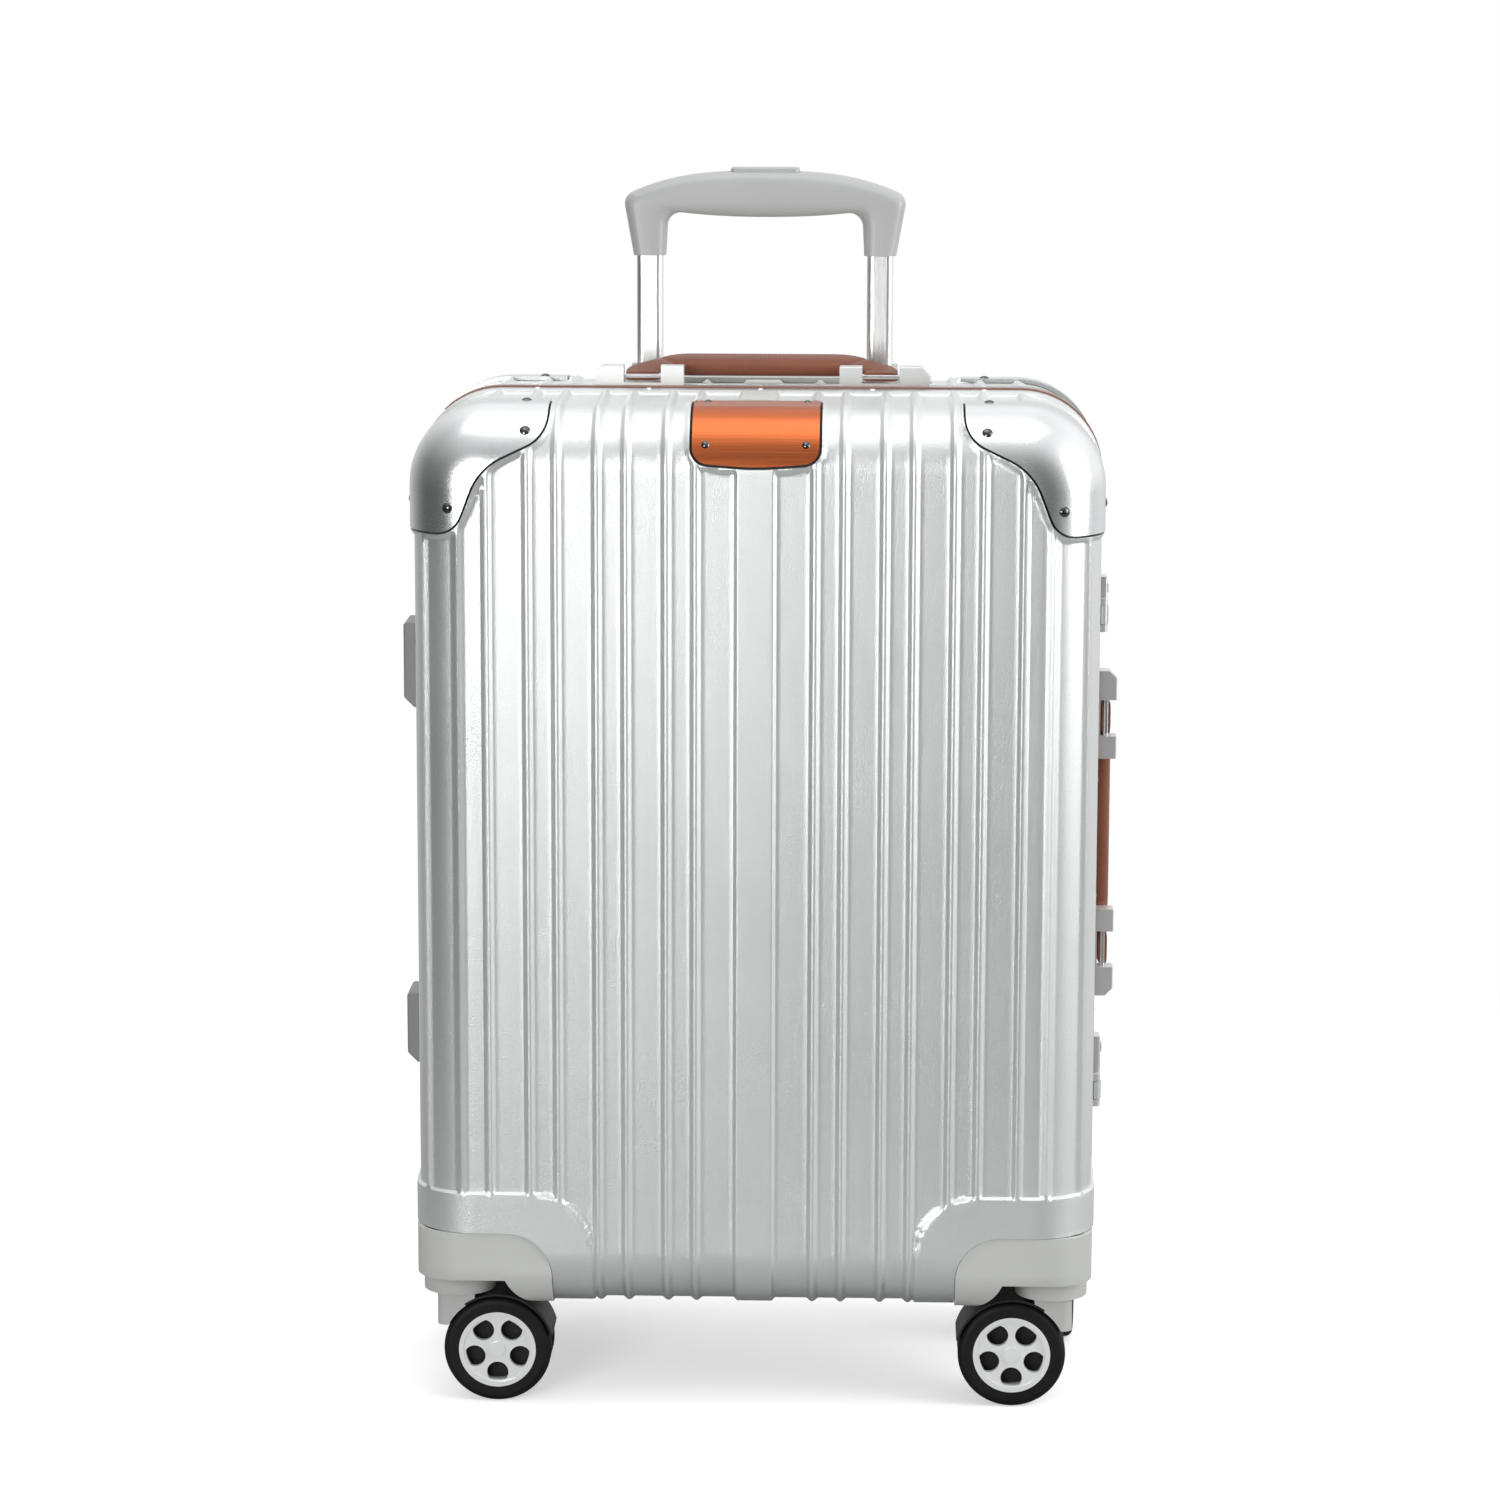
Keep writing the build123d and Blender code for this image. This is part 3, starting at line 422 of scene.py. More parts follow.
def rivet(name):
    """Polished domes: chrome in the guards and plate with a near-black base that paints in their dark
    reflections, plain aluminium in the frames.
    """
    skin = Skin(name, Metallic=1.0)
    from_split = abs(skin.node("ShaderNodeSeparateXYZ", {}, {0: skin.place}, 1))
    in_cover = from_split.ramp(0.018, 0.022)
    scratches = skin.noise(1500.0, 3.0)
    # Painted reflection: the rivets in the guards and plate get a near-black base for the dark surroundings
    # they mirror.
    tone = in_cover.mix((0.80, 0.81, 0.82, 1), (0.10, 0.102, 0.105, 1))
    skin.put("Base Color", scratches.ramp(0.55, 0.85).mix(tone, (0.55, 0.56, 0.57, 1)))
    skin.put("Roughness", 0.07 + in_cover * 0.02 + scratches * 0.06)
    skin.bump(scratches, 0.00001, 0.4)
    return skin.material


finishes = {
    "silver_shell": metal(
        "silver_shell", (0.80, 0.825, 0.815),
        roughness=0.36, grain=1600.0, depth=0.0003, metallic=0.80, wear=0.1,
    ),
    "frame_aluminium": metal(
        "frame_aluminium", (0.82, 0.83, 0.84),
        roughness=0.30, grain=900.0, depth=0.00006, factors=(0.1, 8, 0.1),
    ),
    "guard_aluminium": metal(
        "guard_aluminium", (0.80, 0.82, 0.825),
        roughness=0.27, grain=3200.0, depth=0.00006, wear=0.3,
    ),
    "rivet_chrome": rivet("rivet_chrome"),
    "brown_seal": leather("brown_seal", (0.36, 0.19, 0.15)),
    "grey_plastic": plastic(
        "grey_plastic", (0.55, 0.56, 0.54),
        roughness=0.42, grain=2400.0, depth=0.00010,
    ),
    "black_plastic": plastic(
        "black_plastic", (0.012, 0.012, 0.013),
        roughness=0.45, grain=1800.0, depth=0.00012, Specular_IOR_Level=0.3,
    ),
    "tube_aluminium": metal(
        "tube_aluminium", (0.86, 0.87, 0.86),
        roughness=0.33, grain=700.0, depth=0.00005, factors=(10, 10, 0.06),
    ),
    "grip_grey": plastic("grip_grey", (0.48, 0.49, 0.485), roughness=0.36, grain=2600.0, depth=0.00008),
    "steel": metal(
        "steel", (0.60, 0.60, 0.61),
        roughness=0.30, grain=1200.0, depth=0.00006, factors=(4, 4, 0.2),
    ),
    "bracket_silver": metal(
        "bracket_silver", (0.74, 0.75, 0.75),
        roughness=0.36, grain=2200.0, depth=0.00006, metallic=0.6, wear=0.4,
    ),
    "brown_leather": leather("brown_leather", (0.26, 0.082, 0.040)),
    "lining_fabric": cloth("lining_fabric", (0.11, 0.10, 0.10)),
    "copper_plate": copper("copper_plate", (0.54, 0.135, 0.042)),
    "tyre_black": rubber("tyre_black", (0.005, 0.005, 0.0053), roughness=0.55),
    "hub_silver": metal(
        "hub_silver", (0.90, 0.91, 0.91),
        roughness=0.22, grain=1600.0, depth=0.00004, metallic=0.22, wear=0.05,
    ),
}
slot_of = {row["node"]: row["material_slot"] for row in frame["record"]["subparts"]}
# Painted shade: the side feet get a darker copy of the grey plastic, standing in for the shade they sit in.
foot_grey_painted_shade = plastic("foot_grey_painted_shade", (0.27, 0.275, 0.27), roughness=0.48, grain=1900.0, depth=0.00014)
# Painted shade: the caster hoods get a slightly darker copy of the grey plastic, for the shade under the
# wheel cups.
hood_grey_painted_shade = plastic("hood_grey_painted_shade", (0.50, 0.505, 0.49), roughness=0.42, grain=2400.0, depth=0.00010)
special = {"side_feet": foot_grey_painted_shade}
special.update({name: hood_grey_painted_shade for name in nodes if name.endswith("_hood")})
for name, obj in nodes.items():
    for place in obj.material_slots:
        place.material = special.get(name, finishes[slot_of[name]])


def dress(obj, slot):
    obj.data.materials.clear()
    obj.data.materials.append(finishes[slot])


# Meshes and outlines


def rounded_path(corners, bends, steps=10):
    """Points along straight runs with a round bend at each inner corner."""
    found = [Vector(corners[0])]
    for k, bend in enumerate(bends, 1):
        corner = Vector(corners[k])
        before = (Vector(corners[k - 1]) - corner).normalized()
        after = (Vector(corners[k + 1]) - corner).normalized()
        half = before.angle(after) / 2
        centre = corner + (before + after).normalized() * (bend / sin(half))
        start = corner + before * (bend / tan(half)) - centre
        end = corner + after * (bend / tan(half)) - centre
        for n in range(steps + 1):
            found.append(centre + start.slerp(end, n / steps) * bend)
    found.append(Vector(corners[-1]))
    return [(p.x, p.y) for p in found]


def grown(path, gap):
    """A path moved sideways by a gap, to its right."""
    found = []
    for k, (x, z) in enumerate(path):
        x0, z0 = path[max(k - 1, 0)]
        x1, z1 = path[min(k + 1, len(path) - 1)]
        length = hypot(x1 - x0, z1 - z0)
        found.append((x + gap * (z1 - z0) / length, z - gap * (x1 - x0) / length))
    return found


def rounded_box(length, depth, bend):
    """A rounded rectangle as an outline of points."""
    a, b = length / 2, depth / 2
    box = [(-a, -b), (a, -b), (a, b), (-a, b), (-a, -b), (a, -b)]
    return rounded_path(box, [bend] * 4)[1:-1]


def step(t):
    """A soft step from 0 to 1."""
    t = np.clip(t, 0, 1)
    return t * t * (3 - 2 * t)


def squared(wave, power):
    """A sine or cosine drawn out towards a square section."""
    return np.sign(wave) * np.abs(wave) ** power


def ring_faces(rings, count):
    """Faces between closed rings of points."""
    i, j = np.meshgrid(np.arange(rings - 1), np.arange(count), indexing="ij")
    k = (j + 1) % count
    corners = [i * count + j, i * count + k, (i + 1) * count + k, (i + 1) * count + j]
    return np.stack(corners, -1).reshape(-1, 4)


def grid_faces(rows, cols, start):
    """Faces of a flat grid of points."""
    i, j = np.meshgrid(np.arange(rows - 1), np.arange(cols - 1), indexing="ij")
    corners = [i * cols + j, i * cols + j + 1, (i + 1) * cols + j + 1, (i + 1) * cols + j]
    return np.stack(corners, -1).reshape(-1, 4) + start


def tube_faces(rings, count):
    """Faces of a closed tube of rings, with a face over each end."""
    ends = [range(count), range(rings * count - 1, (rings - 1) * count - 1, -1)]
    return ring_faces(rings, count).tolist() + [list(end) for end in ends]


def mesh_piece(name, points, faces):
    """A new piece from points in millimetres."""
    mesh = bpy.data.meshes.new(name)
    places = [tuple(p) for p in np.asarray(points) * MM]
    mesh.from_pydata(places, [], [tuple(int(v) for v in face) for face in faces])
    obj = bpy.data.objects.new(name, mesh)
    bpy.context.scene.collection.objects.link(obj)
    return obj


def close_up(obj):
    """Welds doubled points and turns all faces outwards."""
    form = bmesh.new()
    form.from_mesh(obj.data)
    bmesh.ops.remove_doubles(form, verts=form.verts, dist=1e-7)
    bmesh.ops.dissolve_degenerate(form, edges=form.edges, dist=1e-8)
    bmesh.ops.recalc_face_normals(form, faces=form.faces)
    form.to_mesh(obj.data)
    form.free()


def smooth(obj, angle=35.0):
    obj.data.shade_smooth()
    obj.data.set_sharp_from_angle(angle=radians(angle))


def prism(outline, near, far, place):
    """A closed prism over an outline, each end placed by a function of the outline's point and depth."""
    count = len(outline)
    points = [place(u, v, near) for u, v in outline] + [place(u, v, far) for u, v in outline]
    faces = [tuple(range(count)), tuple(range(2 * count - 1, count - 1, -1))]
    faces += [(n, (n + 1) % count, count + (n + 1) % count, count + n) for n in range(count)]
    obj = mesh_piece("cutter", points, faces)
    close_up(obj)
    return obj


def front_prism(outline, near, side, rear):
    """A prism over an outline in the front view, from a depth of its half out past the panel."""
    depth_sign = 1 if rear else -1
    return prism(outline, near, far_depth, lambda u, v, y: (side * u, depth_sign * y, v))


def trolley_prism(size, gap, low, high):
    """An upright rounded prism at the middle of the trolley, larger by a gap than what it takes."""
    length, depth, bend = size
    outline = rounded_box(length + gap, depth + gap, bend)
    return prism(outline, low, high, lambda u, v, z: (u, trolley_y + v, z))


def cut(obj, cutter, kind="DIFFERENCE"):
    """Takes one closed piece out of another, or keeps what they share."""
    change = obj.modifiers.new("opening", "BOOLEAN")
    change.object = cutter
    change.operation = kind
    change.solver = "MANIFOLD"
    made = bpy.data.meshes.new_from_object(obj.evaluated_get(bpy.context.evaluated_depsgraph_get()))
    obj.modifiers.clear()
    obj.data = made
    bpy.data.objects.remove(cutter)


# Pressed shells and corner guards

plate_path = [
    (-plate_half, far_top),
    (-plate_half, plate_side),
    (0.0, plate_low),
    (plate_half, plate_side),
    (plate_half, far_top),
]
cup_path = [(far_x, cup_top), (cup_inner, cup_top), (cup_inner, far_low)]
guard_line = rounded_path(guard_path, guard_bends)
plate_line = rounded_path(plate_path, plate_bends)
cup_line = rounded_path(cup_path, [cup_bend])


def profile():
    """The section of a half from the flat front out to its rim: inset, depth, normal and run."""
    found = [(panel_corner - t, half_depth, 0.0, 1.0, t) for t in np.linspace(0, flat_run, 6)]
    for angle in np.linspace(0, pi / 2 - lean, 40)[1:]:
        inset = arc_inset - edge_radius * sin(angle)
        depth = arc_y + edge_radius * cos(angle)
        found.append((inset, depth, sin(angle), cos(angle), flat_run + edge_radius * angle))
    side_run = found[-1][4] + found[-1][1]
    guard_rows = np.arange(*guard_depths, -guard_depth_step)
    rim_rows = np.linspace(*rim_depths, 6)
    for y in [*guard_rows, *plain_depths, *rim_rows, last_depth, tongue_start]:
        found.append(((y - frame_width) * slope, y, cos(lean), sin(lean), side_run - y))
    for y in tongue_depths:
        found.append((0.0, y, 1.0, 0.0, side_run - y))
    return found


def rib_centres():
    pairs = [first_pair + rib_pitch * k for k in range(rib_pairs)]
    return [c + side * rib_pair_gap / 2 for c in pairs for side in (-1, 1)]


def lines_across():
    """Upright grid lines over the front, close together on the ribs."""
    bead = np.linspace(-rib_half, rib_half, 15)
    wanted = {0.0, straight_x}
    for c in rib_centres():
        wanted.update(float(v) for v in c + bead if v < straight_x - closest_column)
    wanted.update(float(v) for v in np.linspace(centre_band - centre_flank, centre_band + band_lap, 7))
    lines = sorted(wanted)
    filled = [lines[0]]
    for a, b in zip(lines[:-1], lines[1:]):
        count = max(1, int(np.ceil((b - a) / widest_column)))
        filled += [a + (b - a) * n / count for n in range(1, count + 1)]
    return [-v for v in reversed(filled[1:])] + filled


def lines_up():
    """Level grid lines over the front, close together at the corner lands and guards."""
    low, high = z_mid - straight_z, z_mid + straight_z
    land_rows = np.arange(low, land_rows_end, fine_row)
    plain_rows = np.arange(land_rows_end, guard_rows_start, wide_row)
    guard_rows = np.arange(guard_rows_start, high - closest_row, fine_row)
    return [float(v) - z_mid for v in [*land_rows, *plain_rows, *guard_rows, high]]


def body_grid():
    """The plain outside of a front half as points with normals, faces, rim points and flags."""
    across = lines_across()
    up = lines_up()
    quarter = np.linspace(0, pi / 2, corner_steps + 1)[1:-1]
    stations = [(x, straight_z, 0.0, 1.0) for x in across]
    stations += [(straight_x, straight_z, sin(t), cos(t)) for t in quarter]
    stations += [(straight_x, z, 1.0, 0.0) for z in reversed(up)]
    stations += [(straight_x, -straight_z, cos(t), -sin(t)) for t in quarter]
    stations += [(x, -straight_z, 0.0, -1.0) for x in reversed(across)]
    stations += [(-straight_x, -straight_z, -sin(t), -cos(t)) for t in quarter]
    stations += [(-straight_x, z, -1.0, 0.0) for z in up]
    stations += [(-straight_x, straight_z, -cos(t), sin(t)) for t in quarter]
    cx, cz, nx, nz = np.array(stations).T[:, None, :]
    inset, depth, out, front, run = np.array(profile()).T[:, :, None]
    x = cx + (panel_corner - inset) * nx
    edge = np.stack([x, -depth + 0 * x, z_mid + cz + (panel_corner - inset) * nz], -1)
    edge_normal = np.stack([out * nx, -front + 0 * x, out * nz], -1)
    gx, gz = np.meshgrid(across, np.array(up) + z_mid)
    flat = np.stack([gx, np.full(gx.shape, -half_depth), gz], -1)
    flat_normal = np.zeros(flat.shape) - (0.0, 1.0, 0.0)
    rings, count = x.shape
    faces = np.concatenate([ring_faces(rings, count), grid_faces(*gx.shape, rings * count)])
    flags = {
        "run": np.concatenate([(run + 0 * x).ravel(), 0 * gx.ravel()]),
        "on_side": np.concatenate([(np.abs(nx) + 0 * x > side_facing).ravel(), np.zeros(gx.size, bool)]),
        "on_top": np.concatenate([(np.abs(nz) + 0 * x > top_facing).ravel(), np.ones(gx.size, bool)]),
    }
    points = np.concatenate([edge.reshape(-1, 3), flat.reshape(-1, 3)])
    normals = np.concatenate([edge_normal.reshape(-1, 3), flat_normal.reshape(-1, 3)])
    rim = (rings - 1) * count + np.arange(count)
    return points, normals, faces, rim, flags


def round_the_edge(x):
    """Where a place in the front view lies along the section, past the flat front."""
    start = straight_x + flat_run
    return start + edge_radius * np.arcsin((x - start) / edge_radius)


def distance_to(path, x, z):
    """How far points lie from a path, in the front view."""
    best = np.full(x.shape, 1e9)
    for (x0, z0), (x1, z1) in zip(path[:-1], path[1:]):
        dx, dz = x1 - x0, z1 - z0
        t = np.clip(((x - x0) * dx + (z - z0) * dz) / (dx * dx + dz * dz), 0, 1)
        best = np.minimum(best, np.hypot(x - x0 - t * dx, z - z0 - t * dz))
    return best


def lip(line, reach, x, z, y):
    """1 on the raised lip round a cover, and 0 away from it."""
    beside = step((lip_width - distance_to(line, x, z)) / lip_flank)
    return beside * step((y - (half_depth - reach) + lip_fade) / lip_fade)


def rise(x, z, y, run, on_side, on_top):
    """How far the pressed sheet stands above the plain panel."""
    wide = np.abs(x)
    along = np.where(on_side, straight_x + run, wide)
    ribbed = on_side | on_top
    low = np.ones_like(x)
    *beads, last_bead = rib_centres()
    for c in beads + [round_the_edge(last_bead), round_the_edge(corner_bead)]:
        low *= 1 - step((rib_half - np.abs(along - c)) / rib_flank) * ribbed
    low *= 1 - step((centre_band + band_lap - along) / centre_flank) * ribbed
    inwards = land_inner + land_corner - wide
    above = z - (land_top - land_corner)
    outside = np.hypot(np.maximum(inwards, 0), np.maximum(above, 0))
    inside = np.minimum(np.maximum(inwards, above), 0)
    low *= 1 - step((land_lap - (outside + inside - land_corner)) / land_flank)
    low *= 1 - step((frame_width + rim_band + band_lap - y) / rim_flank)
    low *= 1 - lip(guard_line, guard_reach, wide, z, y)
    return rib_height * (1 - low)


def between(outer, inner, faces, rim):
    """A closed sheet between two layers of the same points."""
    total = len(outer)
    after = np.roll(rim, -1)
    edge = np.stack([rim, after, total + after, total + rim], -1)
    return np.concatenate([outer, inner]), np.concatenate([faces, faces[:, ::-1] + total, edge])


def shell_arrays(with_plate):
    """Points and faces of a pressed front half."""
    points, normals, faces, rim, flags = body_grid()
    x, y, z = points.T * [[1], [-1], [1]]
    height = rise(x, z, y, **flags)
    if with_plate:
        height = np.maximum(height, rib_height * lip(plate_line, plate_reach, x, z, y))
    height[y <= tongue_depths[0]] = 0.0
    return between(points + height[:, None] * normals, points - sheet * normals, faces, rim)


def guard_arrays():
    """Points and faces of a plain front half at the guards' level, from which they are cut."""
    points, normals, faces, rim, _ = body_grid()
    low, high = guard_levels
    return between(points + high * normals, points + low * normals, faces, rim)


def half_blank(name, points, faces, rear):
    """A closed piece as it is for the front half, or turned over for the rear one."""
    if rear:
        points = points * (1, -1, 1)
    obj = mesh_piece(name, points, faces)
    close_up(obj)
    return obj


def cutters(rear):
    """The openings under the covers: guards, wheel cups, and the name plate or trolley bezel."""
    guard = grown(guard_line, cover_gap) + [(far_x, far_top)]
    cup = cup_line + [(far_x, far_low)]
    found = []
    for side in (-1, 1):
        found.append(front_prism(guard, half_depth - guard_reach - cover_gap, side, rear))
        found.append(front_prism(cup, cup_back, side, rear))
    if rear:
        found.append(trolley_prism(bezel_size, cover_gap, *bezel_cut))
    else:
        plate = grown(plate_line, cover_gap)
        found.append(front_prism(plate, half_depth - plate_reach - cover_gap, 1, rear))
    return found


def make_shell(name, rear):
    """A ribbed half shell with the openings for its covers."""
    obj = half_blank(name, *shell_arrays(not rear), rear)
    for cutter in cutters(rear):
        cut(obj, cutter)
    smooth(obj)
    dress(obj, "silver_shell")
    return obj


def make_guards(name, rear):
    """Both top guards of a half, cut from one smooth blank along their curved edge."""
    obj = half_blank(name, *guard_arrays(), rear)
    outline = guard_line + [(far_x, far_top)]
    sides = [front_prism(outline, half_depth - guard_reach, side, rear) for side in (-1, 1)]
    both = bmesh.new()
    for side in sides:
        both.from_mesh(side.data)
    both.to_mesh(sides[0].data)
    both.free()
    bpy.data.objects.remove(sides[1])
    cut(obj, sides[0], "INTERSECT")
    smooth(obj)
    dress(obj, "guard_aluminium")
    return obj


for half, rear in (("front", False), ("rear", True)):
    shell = make_shell(half + "_pressed_shell", rear)
    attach(shell, half + "_half")
    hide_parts(half + "_shell")
    guards = make_guards(half + "_guard_caps", rear)
    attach(guards, half + "_half")
    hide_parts(half + "_guards")


# Carry handles


def strap_line(steps):
    """The strap's middle line: even points, the ways ahead and out, share of the length, and fill."""
    right = [(roll_x, roll_height), (strap_x, elbow_height), (strap_x, strap_low)]
    corners = [(-x, y) for x, y in reversed(right)] + right
    dense = rounded_path(corners, [elbow_bend, roll_bend, roll_bend, elbow_bend], 12)
    runs = [0.0]
    for (x0, y0), (x1, y1) in zip(dense[:-1], dense[1:]):
        runs.append(runs[-1] + hypot(x1 - x0, y1 - y0))
    even = np.linspace(0, runs[-1], steps)
    line = np.stack([np.interp(even, runs, values) for values in zip(*dense)], -1)
    ahead = np.gradient(line, axis=0)
    ahead /= np.linalg.norm(ahead, axis=1)[:, None]
    out = np.stack([-ahead[:, 1], ahead[:, 0]], -1)
    share = even / runs[-1]
    full = step((0.5 - np.abs(share - 0.5)) / fill_share)
    return line, ahead, out, share, full


def strap_section(full):
    """Half width and half thickness of the strap, from its fill."""
    return [flat + swell * full for flat, swell in zip(strap_half, roll_swell)]


def handle_surface(steps=140, around=40):
    """A stuffed leather strap: flat ends, full in the middle, creased, with puckers at its seam."""
    line, _, out, share, full = strap_line(steps)
    half_wide, half_thick = strap_section(full)
    angle = np.linspace(0, 2 * pi, around, endpoint=False)
    outer_edge = np.cos(angle) > seam_side
    seam = 1 - seam_depth * outer_edge * np.exp(-(((np.cos(angle) - 1) / seam_width) ** 2))
    points = []
    for n in range(steps):
        power = strap_square + roll_round * full[n]
        pucker = 1 + pucker_depth * sin(share[n] * pucker_rate) * full[n] * outer_edge
        from_crease = abs(share[n] - 0.5) - crease_place
        crease = 1 - crease_depth * exp(-((from_crease / crease_width) ** 2))
        across = half_wide[n] * squared(np.cos(angle), power) * seam * pucker
        over = half_thick[n] * squared(np.sin(angle), power) * crease
        flat = line[n][None, :] + out[n][None, :] * across[:, None]
        points.append(np.concatenate([flat, over[:, None]], 1))
    return np.concatenate(points), tube_faces(steps, around)


def stitches(steps=400, rings=7, around=6):
    """Sewn stitches along the outer edge of the stuffed part, on top and underneath."""
    line, ahead, out, _, full = strap_line(steps)
    half_wide, half_thick = strap_section(full)
    points, faces = [], []
    for face in (-1, 1):
        for place in np.linspace(*stitch_span, stitch_count):
            n = int(place * (steps - 1))
            centre = line[n] + out[n] * half_wide[n] * stitch_across
            height = half_thick[n] * stitch_over + stitch_lift
            faces += [[len(points) + v for v in corners] for corners in tube_faces(rings, around)]
            for t in np.linspace(-1, 1, rings):
                bow = sqrt(max(0.0, 1 - t * t))
                radius = stitch_radius * (stitch_end + (1 - stitch_end) * bow)
                for a in np.linspace(0, 2 * pi, around, endpoint=False):
                    p = centre + ahead[n] * stitch_half_length * t + out[n] * radius * cos(a)
                    points.append((p[0], p[1], face * (height + stitch_bow * bow) + radius * sin(a)))
    return np.array(points), faces


def swung(points, tilt):
    """Handle points turned about the pins: along the bar, back from the split and out from the frame."""
    turn = radians(tilt)
    x, y, z = points.T
    back = bracket_y + y * cos(turn) - z * sin(turn)
    out = pin_height + y * sin(turn) + z * cos(turn)
    return x, back, out


def lay_on_top(points):
    along, back, out = swung(points, top_handle_tilt)
    return np.stack([along, back, frame_top + out], -1)


def lay_on_right(points):
    along, back, out = swung(points, side_handle_tilt)
    return np.stack([half_width + out, back, side_handle_z - along], -1)


thread = leather("handle_thread", (0.22, 0.10, 0.06))
for node, lay in (("top_handle", lay_on_top), ("side_handle", lay_on_right)):
    points, faces = handle_surface()
    pad = mesh_piece(node + "_pad", lay(points), faces)
    close_up(pad)
    smooth(pad, 50.0)
    dress(pad, "brown_leather")
    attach(pad, node)
    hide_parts(node)
    points, faces = stitches()
    seam = mesh_piece(node + "_stitches", lay(points), faces)
    close_up(seam)
    smooth(seam, 60.0)
    seam.data.materials.append(thread)
    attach(seam, node)


# Trolley grip


def crown(x):
    """Height of the grip's top edge."""
    return grip_top - crown_drop * (x / grip_half_width) ** crown_power


def underside(x):
    """Height of the bar's lower edge."""
    return grip_top - bar_height + bar_bow * (x / bar_span) ** 2


def grip_edge(corners, bend, height):
    """One edge of the grip, from the right leg's foot round a bend to the middle of the bar."""
    bent = rounded_path(corners, [bend], 16)[1:-1]
    leg_share = np.linspace(0, 1, 14, endpoint=False)[:, None]
    leg = np.array(corners[0]) + (np.array(bent[0]) - corners[0]) * leg_share
    bar_share = np.linspace(1, 0, 40)[1:]
    end_x, end_z = bent[-1]
    bar = np.array([(x, height(x)) for x in end_x * bar_share])
    bar += (bar_share ** 4)[:, None] * [0, end_z - height(end_x)]
    right = np.concatenate([leg, bent, bar])
    return np.concatenate([right, right[-2::-1] * [-1.0, 1.0]])


def make_grip(around=48):
    """A closed round-edged loft between the two edges, with a pocket for the button."""
    leg_out = trolley_x + inner_tube / 2 + leg_wall
    leg_in = trolley_x - inner_tube / 2 - leg_wall
    shoulder = (grip_half_width + shoulder_out, grip_top - shoulder_drop)
    outer_corners = [(leg_out, grip_leg_low), shoulder, (crown_start, crown(crown_start))]
    inner_corners = [(leg_in, grip_leg_low), (leg_in - arch_in, grip_top - arch_drop), arch_end]
    outer = grip_edge(outer_corners, shoulder_bend, crown)
    inner = grip_edge(inner_corners, arch_bend, underside)
    angle = np.linspace(0, 2 * pi, around, endpoint=False)
    wide = squared(np.cos(angle), grip_square)
    deep = squared(np.sin(angle), grip_square) * grip_depth / 2
    points = []
    for (x0, z0), (x1, z1) in zip((outer + inner) / 2, (outer - inner) / 2):
        points += [(x0 + x1 * w, trolley_y + d, z0 + z1 * w) for w, d in zip(wide, deep)]
    grip = mesh_piece("trolley_grip_form", points, tube_faces(len(outer), around))
    close_up(grip)
    cut(grip, trolley_prism(button_size, button_gap, button_floor, far_top))
    smooth(grip, 40.0)
    dress(grip, "grip_grey")
    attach(grip, "trolley_handle")
    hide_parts("trolley_grip")


make_grip()


# Painted shade: dark discs behind the wheel windows


def ring_disc(name, inner, outer, thickness, segments=48):
    """A flat ring round the Z axis."""
    points, faces = [], []
    section = [(inner, 0.0), (outer, 0.0), (outer, thickness), (inner, thickness)]
    for n in range(segments):
        a = 2 * pi * n / segments
        points += [(r * cos(a), r * sin(a), h) for r, h in section]
        for k in range(4):
            m, b, c = 4 * n, 4 * ((n + 1) % segments), (k + 1) % 4
            faces.append((m + k, m + c, b + c, b + k))
    return mesh_piece(name, points, faces)


def make_window_shade_discs():
    """Black discs behind the windows of each wheel, painted shade standing in for the hollow inside; the
    rear casters stand a quarter turn round.
    """
    rows = (
        ("front", "X", swivel_x - trail, -swivel_y, (0, 1)),
        ("rear", "Y", swivel_x, swivel_y - trail, (1, 0)),
    )
    for end, turn_axis, x, y, axle in rows:
        for side, sign in (("left", -1), ("right", 1)):
            for k, offset in enumerate((-shade_disc_place, shade_disc_place)):
                shade_disc = ring_disc(f"{end}_{side}_core_{k}", shade_disc_inner, shade_disc_outer, shade_disc_thickness)
                place = Vector((sign * x + offset * axle[0], y + offset * axle[1], wheel_radius)) * MM
                shade_disc.data.transform(Matrix.Translation(place) @ Matrix.Rotation(pi / 2, 4, turn_axis))
                close_up(shade_disc)
                smooth(shade_disc)
                dress(shade_disc, "black_plastic")
                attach(shade_disc, f"{end}_{side}_wheels")


make_window_shade_discs()


# Floor, light and camera


def white_floor():
    """A pale floor round the case that fades into the white of the room."""
    corners = [(-1, -1, 0), (1, -1, 0), (1, 1, 0), (-1, 1, 0)]
    floor = mesh_piece("floor", np.array(corners) * floor_reach, [(0, 1, 2, 3)])
    skin = Skin("floor", Roughness=0.9, Specular_IOR_Level=0.1, Emission_Strength=1.0)
    length = skin.node("ShaderNodeVectorMath", {"operation": "LENGTH"}, {0: skin.place}, 1)
    speck = skin.noise(300.0, 2.0)
    seen = skin.node("ShaderNodeLightPath", {}, {}, "Is Camera Ray")
    skin.put("Base Color", seen.mix(grey(0.42), speck.mix(grey(0.92), grey(0.96))))
    skin.put("Alpha", length.ramp(0.35, 1.1, 1.0, 0.0))
    skin.put("Emission Color", seen.mix(grey(0.0), grey(0.44)))
    floor.data.materials.append(skin.material)


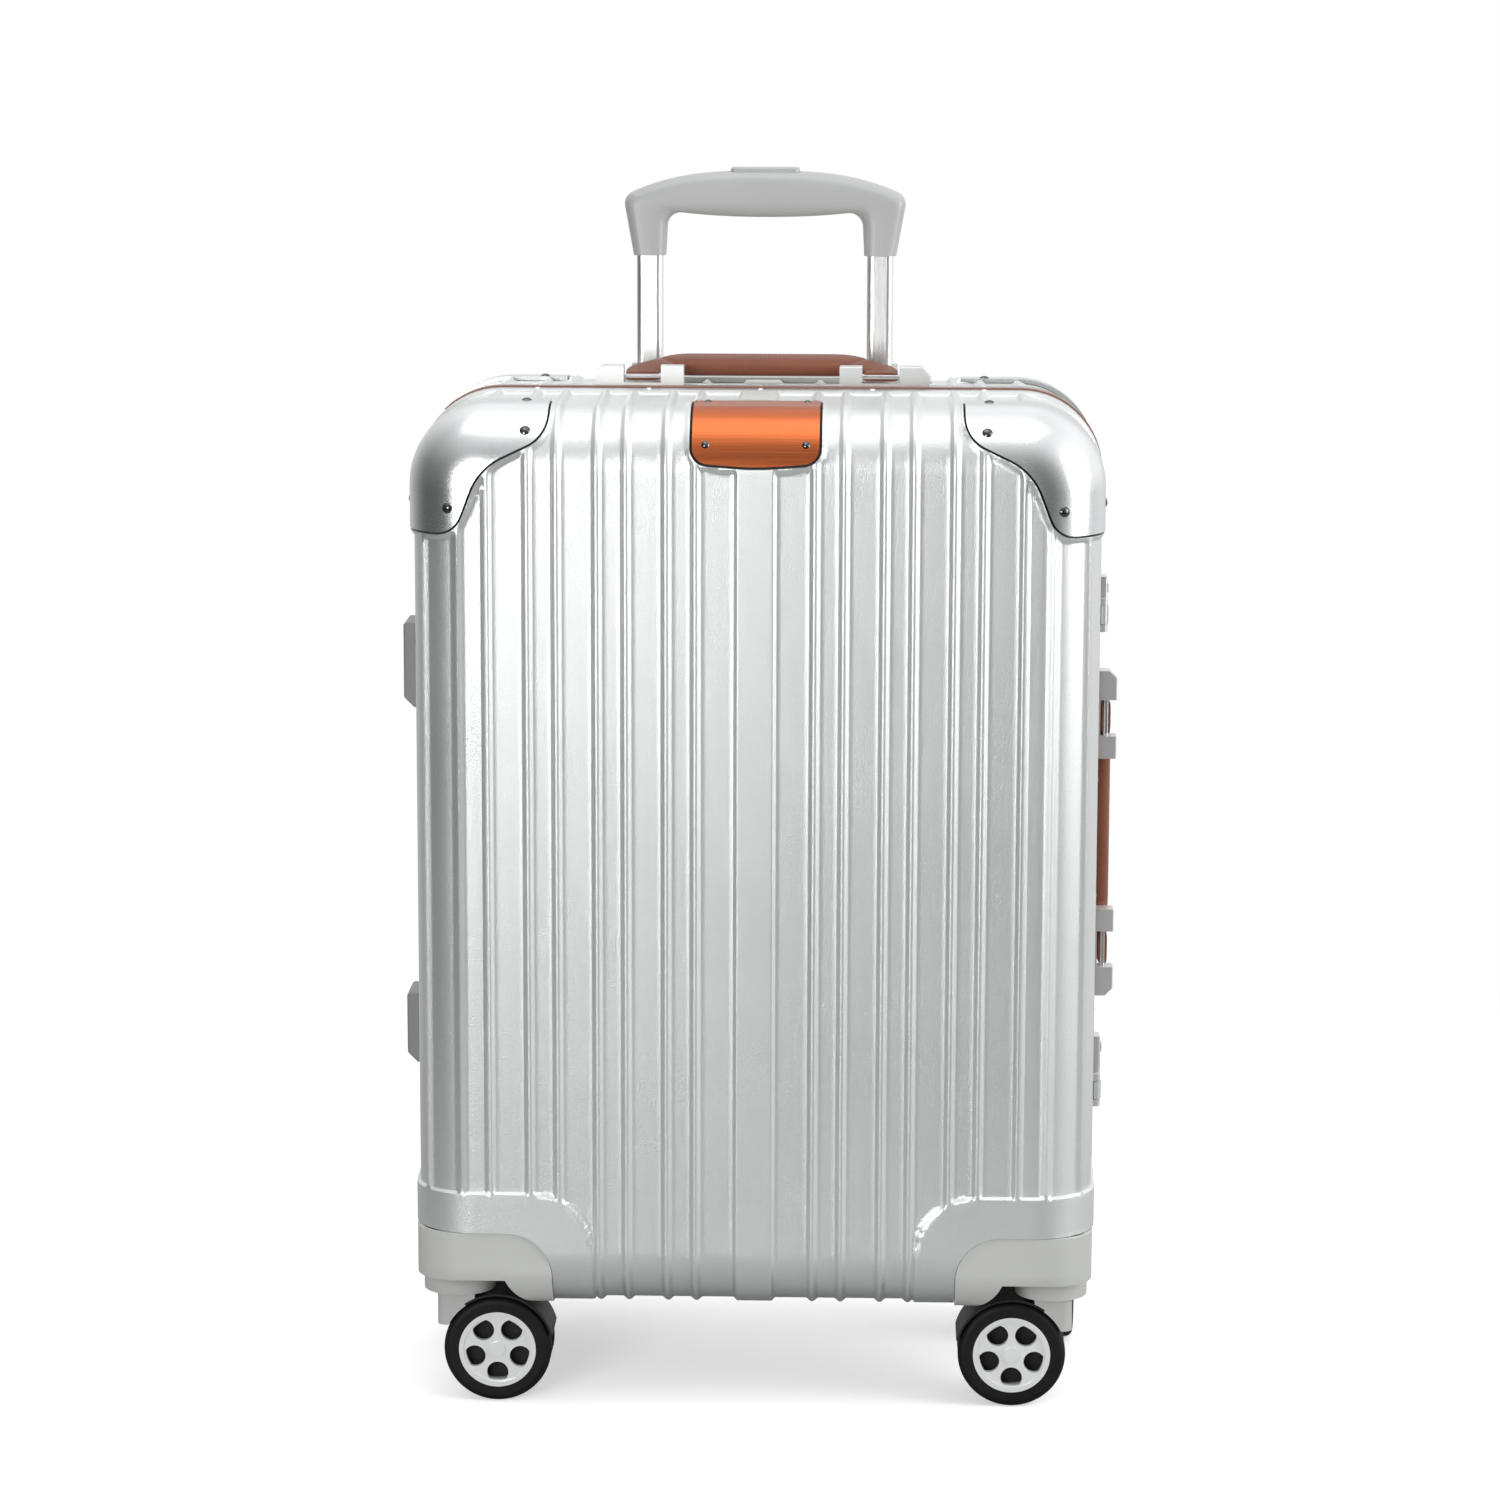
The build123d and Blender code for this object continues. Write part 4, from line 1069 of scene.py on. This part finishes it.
def studio():
    """A white room to the eye; for the case it is brighter on the right, above and behind."""
    world = bpy.data.worlds.new("room")
    bpy.context.scene.world = world
    world.use_nodes = True
    tree = world.node_tree
    back = tree.nodes["Background"]
    place = add_node(tree, "ShaderNodeTexCoord", {}, {}, "Generated")
    x, y, z = (add_node(tree, "ShaderNodeSeparateXYZ", {}, {0: place}, k) for k in range(3))
    walls = 0.42 + x.ramp(0.35, 0.85, 0.0, 0.50) - x.ramp(-0.30, -0.8, 0.0, 0.25)
    walls = walls * y.ramp(-0.55, -0.95, 1.0, 0.45) * z.ramp(-0.35, 0.1, 0.35, 1.0)
    room = walls + z.ramp(0.25, 0.75, 0.0, 0.45) + y.ramp(0.15, 0.8, 0.0, 0.40)
    seen = add_node(tree, "ShaderNodeLightPath", {}, {}, "Is Camera Ray")
    mirrored = add_node(tree, "ShaderNodeLightPath", {}, {}, "Is Glossy Ray")
    through = add_node(tree, "ShaderNodeLightPath", {}, {}, "Is Transmission Ray")
    strength = seen.larger(through).larger(mirrored * room).larger(room * 0.8)
    tree.links.new(strength.socket, back.inputs["Strength"])
    back.inputs["Color"].default_value = grey(1.0)


def lamp(name, place, aim, size, power):
    """A square-edged soft lamp that the camera doesn't see, placed in metres."""
    light = bpy.data.lights.new(name, "AREA")
    light.shape = "RECTANGLE"
    light.size, light.size_y = size
    light.energy = power
    obj = bpy.data.objects.new(name, light)
    obj.location = place
    obj.rotation_euler = (Vector(aim) - Vector(place)).to_track_quat("-Z", "Y").to_euler()
    obj.visible_camera = False
    bpy.context.scene.collection.objects.link(obj)


def photo_camera():
    lens = bpy.data.cameras.new("camera")
    lens.lens = camera_lens
    lens.sensor_width = 36.0
    lens.clip_end = 20.0
    camera = bpy.data.objects.new("camera", lens)
    turn = Matrix.Rotation(radians(camera_turn), 4, "Z") @ Matrix.Rotation(radians(90 - camera_dip), 4, "X")
    roll = Matrix.Rotation(radians(camera_roll), 4, "Z")
    camera.matrix_world = Matrix.Translation(camera_place) @ turn @ roll
    bpy.context.scene.collection.objects.link(camera)
    bpy.context.scene.camera = camera


white_floor()
studio()
lamp("key", place=(-0.72, -1.80, 0.60), aim=(-0.08, -0.11, 0.47), size=(0.7, 0.7), power=15.0)
lamp("right", place=(1.5, -0.5, 0.8), aim=(0.1, 0.0, 0.4), size=(0.7, 1.0), power=11.0)
lamp("top", place=(-0.1, -0.2, 1.9), aim=(0.0, 0.0, 0.4), size=(1.4, 1.0), power=7.0)
photo_camera()
bpy.context.scene.view_settings.view_transform = "Standard"
